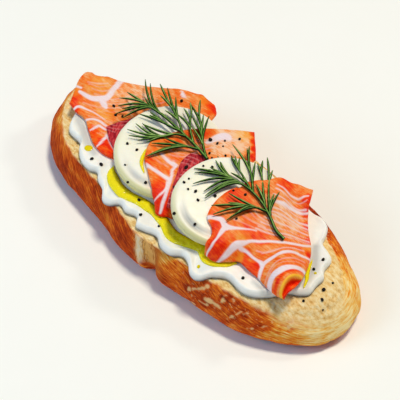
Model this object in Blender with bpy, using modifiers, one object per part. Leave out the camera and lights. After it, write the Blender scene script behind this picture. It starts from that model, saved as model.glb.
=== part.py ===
"""An open sandwich, built as the real food and in the order it is laid.

Half a small crusty loaf lies with its cut face up. On it are spread soft cheese with a wavy edge, a
thin pool of oil, three slices of salmon, two smaller slices of dark cured fish and two thick oval
slices of mozzarella. Each piece is draped on, or let down onto, all the pieces laid before it.

Points and lengths are in millimetres and are turned into metres as a mesh is made. The origin is the
middle of the base, +X runs along the loaf towards its blunt end and +Z is up.
"""

import math

import bmesh
import bpy
import numpy as np
from mathutils import Matrix, Vector
from mathutils.bvhtree import BVHTree

MM = 0.001  # metres in a millimetre
GAP = 0.4  # air left between neighbours
SKY = 200.0  # a height above everything, where rays start

# The loaf: its cut edge from the pointed end along the near side, round the blunt end and back.
LOAF_HEIGHT = 27.0
LOAF_COUNT = 84
CUT_EDGE = (
    (-93.5, 2), (-87.5, -11), (-75.5, -21.5), (-60, -28), (-42, -30.2), (-24, -32.5), (-9, -36),
    (1, -37.4), (13, -35.8), (31, -31.8), (47, -29.4), (63, -25.5), (76, -17.5), (87.5, -7.5),
    (92.2, 4), (91, 13.5), (86, 21.5), (75.5, 28), (60, 33.4), (42, 36.5), (20, 37),
    (-5, 37), (-30, 36.3), (-50, 34), (-68, 28), (-82, 19.5), (-90.5, 11.5),
)
SPINE_HALF = 60.0  # the loaf's rings spread from a line this long each way
SIDE_BULGE = 5.0  # how far the crust stands out past the cut edge
POINTED_BULGE = 7.5
BLUNT_BULGE = 6.2
PINCH_X = 11.5  # a crease where two lobes of the crust meet on the near side
PINCH_DEPTH = 5.0
PINCH_WIDTH = 4.5
SLACK_X = 1.0  # the crust stands out less just before the crease
SLACK_DEPTH = 2.6
SLACK_WIDTH = 11.0
BLUNT_DROP = 7.0  # how far the blunt end's rim is rounded down
# Each ring of the crust: height, share of the bulge, and how far it is drawn in.
CRUST_RINGS = (
    (0.0, 0.0, 9.0), (1.4, 0.4, 4.0), (4.2, 0.8, 1.2), (8.5, 1.0, 0.0), (13.5, 0.95, 0.0),
    (18.5, 0.72, 0.0), (23.0, 0.38, 0.0), (27.0, 0.0, 0.0),
)
# Each ring of the cut face: how far it is drawn in, and share of the rim's drop.
FACE_RINGS = ((2.5, 0.55), (6.5, 0.22), (12.0, 0.05), (17.0, 0.0))

# The spread: its wavy edge, on the near side, round the blunt end and back along the far side.
SPREAD_HEIGHT = 3.6
SPREAD_RIDGE = 0.7  # how far the ridge round its edge stands above the middle
SPREAD_COUNT = 136
SPREAD_NEAR = (
    (-81, -6), (-77, -12), (-74, -17.5), (-70.5, -21), (-66, -22.2), (-60, -22.6), (-56.5, -26.2),
    (-50, -29.5), (-44, -29.8), (-39.5, -28.3), (-35.5, -31), (-30, -33), (-26, -36.2),
    (-21, -36), (-16.5, -32.8), (-11, -33.8), (-5, -32), (-1, -36), (4, -34.6), (10, -32.6),
    (16.5, -35), (22, -34.6), (27, -31), (32, -31.8), (36.5, -34.6), (41.5, -33.6), (46, -28),
    (51, -24.4), (58, -24.6), (64, -23.4), (70, -17.5),
)
SPREAD_END = (
    (75.5, -9), (79.5, -5.6), (82.6, -1.5), (81.5, 4), (81, 9), (77.8, 12.8), (76, 18.8),
    (71.5, 21.2), (66, 23), (63.8, 27), (60.5, 31.8), (55.5, 33.4), (49, 32.2),
)
SPREAD_FAR = (
    (40, 33.2), (29, 31), (17, 33.4), (4, 31.4), (-10, 33.4), (-24, 31), (-38, 31.6),
    (-51, 27.6), (-63, 24.6), (-72, 18.4), (-81, 12.6), (-84, 3.5),
)
# Each ring of the spread: how far it is drawn in, its height share, and its share of the ridge.
SPREAD_UNDER = ((6.0, 0.0, 0.0), (1.6, 0.0, 0.0))
SPREAD_OVER = ((0.0, 0.34, 0.0), (0.6, 0.76, 0.4), (1.8, 1.0, 1.0), (3.8, 1.0, 0.4), (6.0, 1.0, 0.0))
SPREAD_DROOP = 3.0  # how far its lobes may hang past the loaf's edge
SPREAD_REACH = 2.2  # how far past the loaf's edge a lobe stays level
SPREAD_SPINE = 64.0

# The oil: a long pool on the near side, as a middle line with half-widths.
OIL_HEIGHT = 1.0
OIL_COUNT = 46
OIL_LINE = (
    (-35.0, -21.0, 1.6), (-32.6, -24.4, 3.0), (-26.0, -27.4, 3.2), (-18.0, -28.0, 3.0),
    (-9.0, -25.6, 2.6), (0.0, -24.8, 2.8), (8.0, -25.6, 2.6), (16.0, -27.6, 3.2),
    (23.0, -26.0, 3.0), (31.0, -22.8, 2.6), (38.0, -24.4, 3.2), (44.0, -21.0, 3.2),
    (49.0, -16.6, 2.0),
)

# The mozzarella: thick ovals. Turn is the direction of the long way across and fall the direction in
# which the slice slopes down, in degrees from +X.
CHEESE_SQUARENESS = 0.5  # 1 is an ellipsoid and 0 a drum with sharp edges
CHEESE_DISH = 0.7  # how far the top dips in the middle
CHEESE_SLICES = {
    "mozzarella_1": {"middle": (-19.6, 1.9), "size": (56.6, 54.6, 7.4), "turn": 118,
                     "slope": 4, "fall": -20},
    "mozzarella_2": {"middle": (25.0, -1.0), "size": (54.4, 46.8, 7.8), "turn": 69,
                     "slope": 15, "fall": -5},
}

# The fish: each slice by its four edges. Near and far run towards +X, left and right away from -Y.
SALMON_THICK = 2.2
CURED_THICK = 1.1
SALMON_1 = {
    "near": ((-80.5, -12.5), (-75, -13), (-68, -12.6), (-61, -16), (-52, -19.8), (-43, -20.2),
             (-34, -16), (-24, -9)),
    "far": ((-86.7, 7.6), (-82.6, 8.6), (-74, 15.6), (-64.8, 24), (-50, 35.2), (-40.6, 40.2),
            (-32, 41)),
    "left": ((-80.5, -12.5), (-83.4, -7.8), (-87.6, -0.8), (-89, 5), (-86.7, 7.6)),
    "right": ((-24, -9), (-21, 8), (-22, 24), (-26.4, 37), (-32, 41)),
}
CURED_1 = {
    "near": ((-56, -8.5), (-49, -12.6), (-42.5, -15), (-38.6, -16.4)),
    "far": ((-48, 13), (-43, 13.4), (-38.6, 13)),
    "left": ((-56, -8.5), (-54, -2), (-50.5, 7), (-48, 13)),
    "right": ((-38.6, -16.4), (-38.4, -6), (-38.4, 4), (-38.6, 13)),
}
SALMON_2 = {
    "near": ((2, -25), (5.2, -24.8), (8, -22)),
    "far": ((0.6, 39.4), (4.4, 36.2), (9.5, 32), (14, 27.8)),
    "left": ((2, -25), (-7, -20.4), (-15, -16), (-21.4, -12.4), (-26.5, -6.6), (-28, -1), (-26.4, 5),
             (-22.4, 14.4), (-16.1, 23.1), (-5.5, 34), (0.6, 39.4)),
    "right": ((8, -22), (9, -8), (12, 8), (14.4, 20), (14, 27.8)),
}
CURED_2 = {
    "near": ((5.4, -21.6), (6.4, -21.2), (7.4, -20.2)),
    "far": ((-8.6, 6), (-4, 9), (0, 10), (4, 9)),
    "left": ((5.4, -21.6), (1, -14.4), (-4, -7), (-8, -0.5), (-8.6, 6)),
    "right": ((7.4, -20.2), (5.4, -11), (4.4, -1), (4, 9)),
}
SALMON_3 = {
    "near": ((36, -24), (41.6, -23.6), (46, -19.4), (50, -15.8), (56, -15.6), (64, -15),
             (72, -15.3), (79, -14.6)),
    "far": ((25.4, 8.6), (27.4, 14.6), (31, 19.4), (34.6, 25), (38, 29), (42, 32), (45.6, 35.6)),
    "left": ((36, -24), (35, -20), (32, -17.4), (27, -15.2), (23.8, -7.6), (23, 0), (24, 5),
             (25.4, 8.6)),
    "right": ((79, -14.6), (78.2, -8.2), (76.6, -2.6), (74.4, 2), (71, 8), (65.4, 15), (58, 21),
              (51.4, 27.6), (45.6, 35.6)),
}


def smooth_curve(points, count, closed=False):
    """Points evenly spaced along a smooth curve that runs through the given ones."""
    knots = np.array(points, float)
    if closed:
        padded = np.vstack([knots[-1:], knots, knots[:2]])
    else:
        padded = np.vstack([2 * knots[:1] - knots[1:2], knots, 2 * knots[-1:] - knots[-2:-1]])
    t = np.linspace(0, 1, 24, endpoint=False)[:, None]
    spans = []
    for a, b, c, d in zip(padded, padded[1:], padded[2:], padded[3:]):
        cubic = 3 * b - a - 3 * c + d
        square = 2 * a - 5 * b + 4 * c - d
        spans.append(b + 0.5 * ((c - a) * t + square * t**2 + cubic * t**3))
    fine = np.vstack(spans + [padded[-2:-1]])
    steps = np.linalg.norm(np.diff(fine, axis=0), axis=1)
    along = np.concatenate([[0], np.cumsum(steps)])
    places = np.linspace(0, along[-1], count, endpoint=not closed)
    return np.column_stack([np.interp(places, along, column) for column in fine.T])


def hump(x, middle, width):
    """A smooth hump, 1 high, whose half-width is about the width given."""
    return np.exp(-(((x - middle) / width) ** 2))


def ramp(x, start, end):
    """0 before start, 1 after end, and smooth in between."""
    t = np.clip((x - start) / (end - start), 0, 1)
    return t * t * (3 - 2 * t)


def spread_out(outline, distance, spine_half):
    """The outline moved outwards by a distance, straight away from a line along the middle."""
    foot = np.column_stack([np.clip(outline[:, 0], -spine_half, spine_half), outline[:, 1] * 0])
    away = outline - foot
    length = np.linalg.norm(away, axis=1, keepdims=True)
    return outline + away / length * np.reshape(distance, (-1, 1))


def with_height(outline, height):
    """Plan points with a height added."""
    return np.column_stack([outline, np.broadcast_to(height, len(outline))])


def make_object(name, mesh_maker, colour, roughness):
    """A new object in the sandwich's collection, its mesh made by the function given."""
    mesh = bpy.data.meshes.new(name)
    shape = bmesh.new()
    mesh_maker(shape)
    bmesh.ops.recalc_face_normals(shape, faces=shape.faces)
    shape.to_mesh(mesh)
    shape.free()
    mesh.shade_smooth()
    obj = bpy.data.objects.new(name, mesh)
    bpy.data.collections["open_sandwich"].objects.link(obj)
    material = bpy.data.materials.new(name)
    material.use_nodes = True
    shader = material.node_tree.nodes["Principled BSDF"]
    shader.inputs["Base Color"].default_value = (*colour, 1)
    shader.inputs["Roughness"].default_value = roughness
    mesh.materials.append(material)
    return obj


def loft(shape, rings):
    """A closed body through rings of points, each ring as long as the next, with flat ends."""
    loops = [[shape.verts.new(Vector(point) * MM) for point in ring] for ring in rings]
    for lower, upper in zip(loops, loops[1:]):
        for i in range(len(lower)):
            j = (i + 1) % len(lower)
            shape.faces.new((lower[i], lower[j], upper[j], upper[i]))
    shape.faces.new(loops[0][::-1])
    shape.faces.new(loops[-1])


def world_mesh(obj):
    """The object's finished corners, in millimetres, and its faces."""
    view_layer = bpy.context.view_layer
    view_layer.update()
    finished = obj.evaluated_get(bpy.context.evaluated_depsgraph_get())
    mesh = finished.to_mesh()
    corners = [finished.matrix_world @ vertex.co / MM for vertex in mesh.vertices]
    faces = [tuple(face.vertices) for face in mesh.polygons]
    finished.to_mesh_clear()
    return corners, faces


def support_tree(objects):
    """One search tree for the surfaces of all the objects given."""
    corners, faces = [], []
    for obj in objects:
        more_corners, more_faces = world_mesh(obj)
        faces += [tuple(index + len(corners) for index in face) for face in more_faces]
        corners += more_corners
    return BVHTree.FromPolygons(corners, faces)


def height_below(tree, x, y, default):
    """The height of the highest surface at a place in plan."""
    hit = tree.ray_cast(Vector((x, y, SKY)), Vector((0, 0, -1)))[0]
    return default if hit is None else hit.z


def height_around(tree, x, y, reach, default):
    """The highest surface at a place in plan and at eight places round it, a reach away."""
    turns = [k * math.tau / 8 for k in range(8)]
    places = [(x, y)] + [(x + reach * math.cos(turn), y + reach * math.sin(turn)) for turn in turns]
    return max(height_below(tree, px, py, default) for px, py in places)


def build_loaf():
    """Half a loaf: a bulging crust tucked in at the base, a crease, and a flat cut face."""
    edge = smooth_curve(CUT_EDGE, LOAF_COUNT, closed=True)
    x, y = edge.T
    near = ramp(-y, 0, 20)
    bulge = SIDE_BULGE + (POINTED_BULGE - SIDE_BULGE) * ramp(-x, 55, 90)
    bulge += (BLUNT_BULGE - SIDE_BULGE) * ramp(x, 55, 90)
    bulge -= near * SLACK_DEPTH * hump(x, SLACK_X, SLACK_WIDTH)
    pinch = near * PINCH_DEPTH * hump(x, PINCH_X, PINCH_WIDTH)
    drop = 0.8 + (BLUNT_DROP - 0.8) * ramp(x, 55, 92)
    rings = []
    for height, share, drawn_in in CRUST_RINGS:
        out = share * (bulge - pinch) - drawn_in
        ring = spread_out(edge, out, SPINE_HALF)
        rings.append(with_height(ring, height * (1 - drop / LOAF_HEIGHT)))
    for drawn_in, share in FACE_RINGS:
        ring = spread_out(edge, -drawn_in, SPINE_HALF)
        rings.append(with_height(ring, LOAF_HEIGHT - share * drop))
    return make_object("bread", lambda shape: loft(shape, rings), (0.52, 0.24, 0.07), 0.75)


def build_spread(laid):
    """Soft cheese: a wavy-edged layer with a rounded ridge, its lobes hanging over the rim."""
    edge = smooth_curve(SPREAD_NEAR + SPREAD_END + SPREAD_FAR, SPREAD_COUNT, closed=True)
    tree = support_tree(laid)
    lowest = LOAF_HEIGHT - SPREAD_DROOP
    rings = []
    for drawn_in, share, ridge in SPREAD_UNDER + SPREAD_OVER:
        ring = spread_out(edge, -drawn_in, SPREAD_SPINE)
        floor = np.array([height_around(tree, x, y, SPREAD_REACH, lowest) for x, y in ring])
        base = np.maximum(floor, lowest) + GAP
        level = LOAF_HEIGHT + GAP + share * SPREAD_HEIGHT + ridge * SPREAD_RIDGE
        top = base + (level - LOAF_HEIGHT - GAP)
        settled = drawn_in >= SPREAD_OVER[-1][0] or share == 0 and drawn_in > 2
        rings.append(with_height(ring, level if settled else top))
    return make_object("cream", lambda shape: loft(shape, rings), (0.92, 0.91, 0.86), 0.45)


def build_oil(laid):
    """The pool of oil: flat below and rounded above, as wide as its line says."""
    line = smooth_curve(OIL_LINE, OIL_COUNT)
    ahead = np.gradient(line[:, :2], axis=0)
    ahead /= np.linalg.norm(ahead, axis=1, keepdims=True)
    across = np.column_stack([-ahead[:, 1], ahead[:, 0]])
    tree = support_tree(laid)
    half = line[:, 2:3]
    section = ((-0.86, 0), (0.86, 0), (1, 0.45), (0.55, 1), (-0.55, 1), (-1, 0.45))
    rings = [[] for _ in line]
    for side, rise in section:
        row = line[:, :2] + across * half * side
        for ring, (x, y) in zip(rings, row):
            ring.append((x, y, rise))
    finished = []
    for ring in rings:
        floor = max(height_below(tree, x, y, LOAF_HEIGHT) for x, y, _ in ring) + GAP
        finished.append([(x, y, floor + rise * OIL_HEIGHT) for x, y, rise in ring])
    return make_object("oil", lambda shape: loft(shape, finished), (0.85, 0.72, 0.04), 0.1)


def coons(edges, rows, columns):
    """A grid of plan points that fills the space between four edges."""
    near = smooth_curve(edges["near"], columns)[None, :, :]
    far = smooth_curve(edges["far"], columns)[None, :, :]
    left = smooth_curve(edges["left"], rows)[:, None, :]
    right = smooth_curve(edges["right"], rows)[:, None, :]
    t = np.linspace(0, 1, rows)[:, None, None]
    s = np.linspace(0, 1, columns)[None, :, None]
    corners = (1 - s) * ((1 - t) * near[:, :1] + t * far[:, :1])
    corners = corners + s * ((1 - t) * near[:, -1:] + t * far[:, -1:])
    return (1 - t) * near + t * far + (1 - s) * left + s * right - corners


def widen(grid):
    """Each value of a grid raised to the highest of itself and its eight neighbours."""
    padded = np.pad(grid, 1, mode="edge")
    rows, columns = grid.shape
    around = [padded[i:i + rows, j:j + columns] for i in range(3) for j in range(3)]
    return np.maximum.reduce(around)


def soften(grid):
    """Each value of a grid replaced by the mean of its four neighbours, straight past the edges."""
    padded = np.pad(grid, 1, mode="reflect", reflect_type="odd")
    return (padded[2:, 1:-1] + padded[:-2, 1:-1] + padded[1:-1, 2:] + padded[1:-1, :-2]) / 4


def drape(plan, laid, hold, passes):
    """Heights of a sheet that lies on the pieces below, or is held above them, and spans hollows."""
    tree = support_tree(laid)
    lowest = LOAF_HEIGHT - 4
    floor = np.array([[height_below(tree, x, y, lowest) for x, y in row] for row in plan])
    floor = np.maximum(widen(floor) + GAP, hold(*np.moveaxis(plan, 2, 0)))
    height = floor
    for _ in range(passes):
        height = np.maximum(floor, soften(height))
    return height


def build_sheet(name, edges, laid, thick, rows, columns, hold, colour, roughness, passes=14):
    """A slice of fish: a sheet between four edges, draped, held up where it waves, and thickened."""
    plan = coons(edges, rows, columns)
    height = drape(plan, laid, hold, passes)
    places = np.dstack([plan, height]).reshape(-1, 3)

    def maker(shape):
        bmesh.ops.create_grid(shape, x_segments=columns - 1, y_segments=rows - 1, size=0.5)
        shape.verts.ensure_lookup_table()
        for vertex, place in zip(shape.verts, places):
            vertex.co = Vector(place) * MM

    obj = make_object(name, maker, colour, roughness)
    if obj.data.polygons[0].normal.z < 0:
        obj.data.flip_normals()
    inner = obj.vertex_groups.new(name="inner")
    for index in range(rows * columns):
        row, column = divmod(index, columns)
        depth = min(row, column, rows - 1 - row, columns - 1 - column)
        inner.add([index], 1.0 if depth else 0.45, "REPLACE")
    solid = obj.modifiers.new("thickness", "SOLIDIFY")
    solid.thickness = thick * MM
    solid.offset = 1
    solid.vertex_group = inner.name
    solid.use_even_offset = False
    return obj


def let_down(obj, laid):
    """Lower an object straight down until it is a gap above the pieces below."""
    corners, faces = world_mesh(obj)
    own_tree = BVHTree.FromPolygons(corners, faces)
    tree = support_tree(laid)
    room = SKY
    for corner in corners:
        floor = height_below(tree, corner.x, corner.y, -SKY)
        room = min(room, corner.z - floor)
    for other in laid:
        for corner in world_mesh(other)[0]:
            start = Vector((corner.x, corner.y, corner.z))
            hit = own_tree.ray_cast(start, Vector((0, 0, 1)))[0]
            if hit is not None:
                room = min(room, hit.z - corner.z)
    obj.location.z -= (room - GAP) * MM


def build_cheese(name, laid):
    """A thick oval slice with a rounded rim and a slight dish, tilted and let down."""
    place = CHEESE_SLICES[name]

    def maker(shape):
        bmesh.ops.create_uvsphere(shape, u_segments=30, v_segments=11, radius=1)
        for vertex in shape.verts:
            around = math.hypot(vertex.co.x, vertex.co.y)
            out = around**CHEESE_SQUARENESS
            stretch = out / around if around > 1e-6 else 0
            rise = math.copysign(abs(vertex.co.z)**CHEESE_SQUARENESS, vertex.co.z)
            dish = CHEESE_DISH * (1 - out**2) if rise > 0 else 0
            vertex.co.x *= stretch * place["size"][0] / 2 * MM
            vertex.co.y *= stretch * place["size"][1] / 2 * MM
            vertex.co.z = (rise * place["size"][2] / 2 - dish) * MM
        turn = Matrix.Rotation(math.radians(place["turn"]), 4, "Z")
        bmesh.ops.transform(shape, matrix=turn, verts=shape.verts)

    obj = make_object(name, maker, (0.93, 0.92, 0.84), 0.35)
    fall = math.radians(place["fall"])
    axis = Vector((-math.sin(fall), math.cos(fall), 0))
    obj.rotation_euler = Matrix.Rotation(math.radians(place["slope"]), 3, axis).to_euler()
    obj.location = Vector((*place["middle"], SKY / 2)) * MM
    let_down(obj, laid)
    return obj


def hold_1(x, y):
    """The first salmon slice stands off the loaf at its pointed end and lies level at the other."""
    return (x < -79) * (33.4 + 3.6 * ramp(y, -10, 5)) + 34.2 * (x > -60) * (y > 33)


def hold_2(x, y):
    """The second slice stands out level past the cheese at its far end."""
    return 40.2 * (y > 23) + 0 * x


def hold_3(x, y):
    """The third slice is arched along a line that runs out to its tip; its far corner is level."""
    ahead = np.array([21.0, -19.0]) / math.hypot(21, 19)
    along = (x - 58) * ahead[0] + (y - 4) * ahead[1]
    aside = (x - 58) * ahead[1] - (y - 4) * ahead[0]
    arch = 31.0 + 8.0 * hump(aside, 0, 5.5) * ramp(along, 0, 6) * (1 - ramp(along, 19, 29))
    return np.maximum(arch, 39.0 * (y > 29))


def lie_flat(x, y):
    """A slice that just lies on what is below."""
    return 0 * x * y


def build():
    """Lay the sandwich, piece by piece."""
    orange = (0.86, 0.24, 0.06)
    crimson = (0.45, 0.03, 0.05)
    laid = [build_loaf()]
    laid.append(build_spread(laid))
    laid.append(build_oil(laid))
    laid.append(build_sheet("salmon_1", SALMON_1, laid, SALMON_THICK, 14, 19, hold_1, orange, 0.35))
    laid.append(build_sheet("cured_1", CURED_1, laid, CURED_THICK, 9, 8, lie_flat, crimson, 0.3))
    laid.append(build_cheese("mozzarella_1", laid))
    laid.append(build_sheet("salmon_2", SALMON_2, laid, SALMON_THICK, 20, 12, hold_2, orange, 0.35))
    laid.append(build_sheet("cured_2", CURED_2, laid, CURED_THICK, 11, 7, lie_flat, crimson, 0.3))
    laid.append(build_cheese("mozzarella_2", laid))
    laid.append(build_sheet("salmon_3", SALMON_3, laid, SALMON_THICK, 17, 22, hold_3, orange, 0.35, passes=6))


for leftover in list(bpy.data.objects):
    bpy.data.objects.remove(leftover, do_unlink=True)
sandwich = bpy.data.collections.new("open_sandwich")
bpy.context.scene.collection.children.link(sandwich)
build()
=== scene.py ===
"""The looks of the open sandwich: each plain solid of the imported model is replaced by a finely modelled
piece of the same size in the same place, and the herb, the pepper, the oil drops and streaks are added.

Points and lengths are in millimetres and are turned into metres as a mesh is made. +X runs along the
loaf towards its blunt end, the near side is at -Y, and +Z is up. Colours are given as on a screen.
"""

import itertools
import math

import bmesh
import bpy
import numpy as np
from mathutils import Matrix, Vector
from mathutils.bvhtree import BVHTree


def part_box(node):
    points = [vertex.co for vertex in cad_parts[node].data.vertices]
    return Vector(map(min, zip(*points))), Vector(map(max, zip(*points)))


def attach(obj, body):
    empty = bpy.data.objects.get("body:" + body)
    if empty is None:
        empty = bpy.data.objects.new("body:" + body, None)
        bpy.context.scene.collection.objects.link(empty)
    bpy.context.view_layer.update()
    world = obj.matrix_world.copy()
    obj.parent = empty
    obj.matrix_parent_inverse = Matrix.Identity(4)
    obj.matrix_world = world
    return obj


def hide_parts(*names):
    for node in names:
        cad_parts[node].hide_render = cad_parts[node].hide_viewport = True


MM = 0.001  # metres in a millimetre
SKY = 200.0  # a height above everything, where rays start
TOUCH = 0.08  # air left between a slice and what it lies on

# The loaf: its cut edge from the pointed end along the near side, round the blunt end and back.
LOAF_HEIGHT = 27.0
LOAF_AROUND = 760
CUT_EDGE = (
    (-93.5, 2), (-87.5, -11), (-75.5, -21.5), (-60, -28), (-42, -30.2), (-24, -32.5), (-9, -36),
    (1, -37.4), (13, -35.8), (31, -31.8), (47, -29.4), (63, -25.5), (76, -17.5), (87.5, -7.5),
    (92.2, 4), (91, 13.5), (86, 21.5), (75.5, 28), (60, 33.4), (42, 36.5), (20, 37),
    (-5, 37), (-30, 36.3), (-50, 34), (-68, 28), (-82, 19.5), (-90.5, 11.5),
)
SPINE_HALF = 60.0  # the loaf's rings spread from a line this long each way
SIDE_BULGE = 5.0  # how far the crust stands out past the cut edge
POINTED_BULGE = 7.5
BLUNT_BULGE = 6.2
PINCH_X = 11.5  # a crease where two lobes of the crust meet on the near side
PINCH_DEPTH = 5.0
PINCH_WIDTH = 4.5
SLACK_X = 1.0  # the crust stands out less just before the crease
SLACK_DEPTH = 2.6
SLACK_WIDTH = 11.0
TEAR_FROM = 0.0  # the crust is torn between these places along the loaf
TEAR_TO = 16.0
RIM_DROP = 0.8  # how far the rim is rounded down
BLUNT_DROP = 7.0  # the same at the blunt end
RIM = 3.0  # distances down the crust are counted from this far inside the cut edge
# Each ring of the crust: height, share of the bulge, and how far it is drawn in.
CRUST_RINGS = (
    (0.0, 0.0, 9.0), (1.4, 0.4, 4.0), (4.2, 0.8, 1.2), (8.5, 1.0, 0.0), (13.5, 0.95, 0.0),
    (18.5, 0.72, 0.0), (23.0, 0.38, 0.0), (27.0, 0.0, 0.0),
)
CRUST_STEPS = 50
# Each ring of the cut face: how far it is drawn in, and share of the rim's drop.
FACE_RINGS = ((0.0, 1.0), (2.5, 0.55), (6.5, 0.22), (12.0, 0.05), (17.0, 0.0), (22.0, 0.0))
FACE_STEPS = 38

# The spread: its wavy edge, on the near side, round the blunt end and back along the far side.
SPREAD_HEIGHT = 4.0
SPREAD_RIDGE = 0.7  # how far the ridge round its edge stands above the middle
SPREAD_AROUND = 640
SPREAD_NEAR = (
    (-81, -6), (-77, -12), (-74, -17.5), (-70.5, -21), (-66, -22.2), (-60, -22.6), (-56.5, -26.2),
    (-50, -29.5), (-44, -29.8), (-39.5, -28.3), (-35.5, -31), (-30, -33), (-26, -36.2),
    (-21, -36), (-16.5, -32.8), (-11, -33.8), (-5, -32), (-1, -36), (4, -34.6), (10, -32.6),
    (16.5, -35), (22, -34.6), (27, -31), (32, -31.8), (36.5, -34.6), (41.5, -33.6), (46, -28),
    (51, -24.4), (58, -24.6), (64, -23.4), (70, -17.5),
)
SPREAD_END = (
    (75.5, -9), (79.5, -5.6), (82.6, -1.5), (81.5, 4), (81, 9), (77.8, 12.8), (76, 18.8),
    (71.5, 21.2), (66, 23), (63.8, 27), (60.5, 31.8), (55.5, 33.4), (49, 32.2),
)
SPREAD_FAR = (
    (40, 33.2), (29, 31), (17, 33.4), (4, 31.4), (-10, 33.4), (-24, 31), (-38, 31.6),
    (-51, 27.6), (-63, 24.6), (-72, 18.4), (-81, 12.6), (-84, 3.5),
)
# Each ring of the spread: how far it is drawn in, its height share, and its share of the ridge.
SPREAD_RINGS = (
    (5.0, -0.1, 0.0), (1.4, -0.1, 0.0), (0.3, 0.1, 0.0), (0.0, 0.36, 0.0), (0.5, 0.72, 0.4),
    (1.7, 0.97, 1.0), (3.8, 1.0, 0.4), (6.0, 1.0, 0.0), (9.0, 1.0, 0.0),
)
SPREAD_STEPS = 34
SPREAD_INNER = 14
SPREAD_DROOP = 3.0  # how far its lobes may hang past the loaf's edge
SPREAD_REACH = 2.2  # how far past the loaf's edge a lobe stays level
SPREAD_SPINE = 64.0

# Painted shadow of the fish on the spread: where it is greyer beside them, as middle lines with half-widths.
SHADED_EDGES = (
    ((-85, 4, 1.0), (-80, -6, 1.8), (-74, -13, 1.6), (-66, -16, 1.6), (-58, -20, 1.8), (-48, -23, 1.2)),
    ((66, 18, 1.2), (72, 11, 1.8), (76, 4, 1.5), (78, -2, 0.6)),
    ((62, -18, 0.5), (68, -17.5, 1.2), (73, -17, 1.2)),
)

# The oil: a long pool on the near side, as a middle line with half-widths.
OIL_HEIGHT = 1.0
STREAK_HEIGHT = 0.5
OIL_STEPS = 200
OIL_ACROSS = 25
OIL_LINE = (
    (-35, -21, 1.6), (-32.6, -24.4, 3), (-26, -27.4, 3.2), (-18, -28, 3), (-9, -25.6, 2.6), (0, -24.8, 2.8),
    (8, -25.6, 2.6), (16, -27.6, 3.2), (23, -26, 3), (31, -22.8, 2.6), (38, -24.4, 3.2), (44, -21, 3.2),
    (49, -16.6, 2),
)

# The mozzarella: thick ovals. Turn is the direction of the long way across and fall the direction in
# which the slice slopes down, in degrees from +X.
CHEESE_SQUARENESS = 0.5  # 1 is an ellipsoid and 0 a drum with sharp edges
CHEESE_DISH = 0.7  # how far the top dips in the middle
CHEESE_AROUND = 200
CREASE_DEPTH = 1.2
CREASE_OUT = 0.82  # the crease runs round the top at this share of the way out
# The crease share is how strong the painted shade in the crease is.
CHEESE_SLICES = {
    "mozzarella_1": {"middle": (-19.6, 1.9), "size": (56.6, 54.6, 7.4), "turn": 118,
                     "slope": 4, "fall": -20, "crease": (-76, 26), "crease_shade_share": 0.75},
    "mozzarella_2": {"middle": (25.0, -1.0), "size": (54.4, 46.8, 7.8), "turn": 69,
                     "slope": 15, "fall": -5, "crease": (-78, 34), "crease_shade_share": 1.0},
}

# The fish: each slice by its four edges. Near and far run towards +X, left and right away from -Y.
SALMON_THICK = 2.2
SALMON_PASSES = 700  # how often a draped slice is smoothed as it settles
CURED_THICK = 1.1
CURED_PASSES = 300
SALMON_1 = {
    "near": ((-80.5, -12.5), (-75, -13), (-68, -12.6), (-61, -16), (-52, -19.8), (-43, -20.2),
             (-34, -16), (-24, -9)),
    "far": ((-86.7, 7.6), (-82.6, 8.6), (-74, 15.6), (-64.8, 24), (-50, 35.2), (-42, 39.4),
            (-39.6, 41), (-34.4, 40.8), (-30.2, 41)),
    "left": ((-80.5, -12.5), (-83.4, -7.8), (-87.6, -0.8), (-89, 5), (-86.7, 7.6)),
    "right": ((-24, -9), (-21, 8), (-22, 24), (-24.4, 36), (-27.4, 39.4), (-30.2, 41)),
}
CURED_1 = {
    "near": ((-56, -8.5), (-49, -12.6), (-42.5, -15), (-38.6, -16.4)),
    "far": ((-48, 13), (-43, 13.4), (-38.6, 13)),
    "left": ((-56, -8.5), (-54, -2), (-50.5, 7), (-48, 13)),
    "right": ((-38.6, -16.4), (-38.4, -6), (-38.4, 4), (-38.6, 13)),
}
SALMON_2 = {
    "near": ((2, -25), (5.2, -24.8), (8, -22)),
    "far": ((0.6, 39.4), (4.4, 36.2), (9.5, 32), (14, 27.8)),
    "left": ((2, -25), (-7, -20.4), (-15, -16), (-21.4, -12.4), (-26.5, -6.6), (-28, -1), (-26.4, 5),
             (-22.4, 14.4), (-16.1, 23.1), (-5.5, 34), (0.6, 39.4)),
    "right": ((8, -22), (9, -8), (12, 8), (14.4, 20), (14, 27.8)),
}
CURED_2 = {
    "near": ((5.4, -21.6), (6.4, -21.2), (7.4, -20.2)),
    "far": ((-8.6, 6), (-4, 9), (0, 10), (4, 9)),
    "left": ((5.4, -21.6), (1, -14.4), (-4, -7), (-8, -0.5), (-8.6, 6)),
    "right": ((7.4, -20.2), (5.4, -11), (4.4, -1), (4, 9)),
}
SALMON_3 = {
    "near": ((36, -24), (41.6, -23.6), (46, -19.4), (50, -15.8), (56, -15.6), (64, -15),
             (72, -15.3), (79, -14.6)),
    "far": ((25.4, 8.6), (26.4, 15), (29.4, 20.4), (31.6, 26.6), (35.8, 29.6), (38.8, 32.6),
            (42.2, 34), (45.6, 35.6)),
    "left": ((36, -24), (35, -20), (32, -17.4), (27, -15.2), (23.8, -7.6), (23, 0), (24, 5),
             (25.4, 8.6)),
    "right": ((79, -14.6), (78.2, -8.2), (76.6, -2.6), (74.4, 2), (71, 8), (65.4, 15), (58, 21),
              (51.4, 27.6), (45.6, 35.6)),
}

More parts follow.
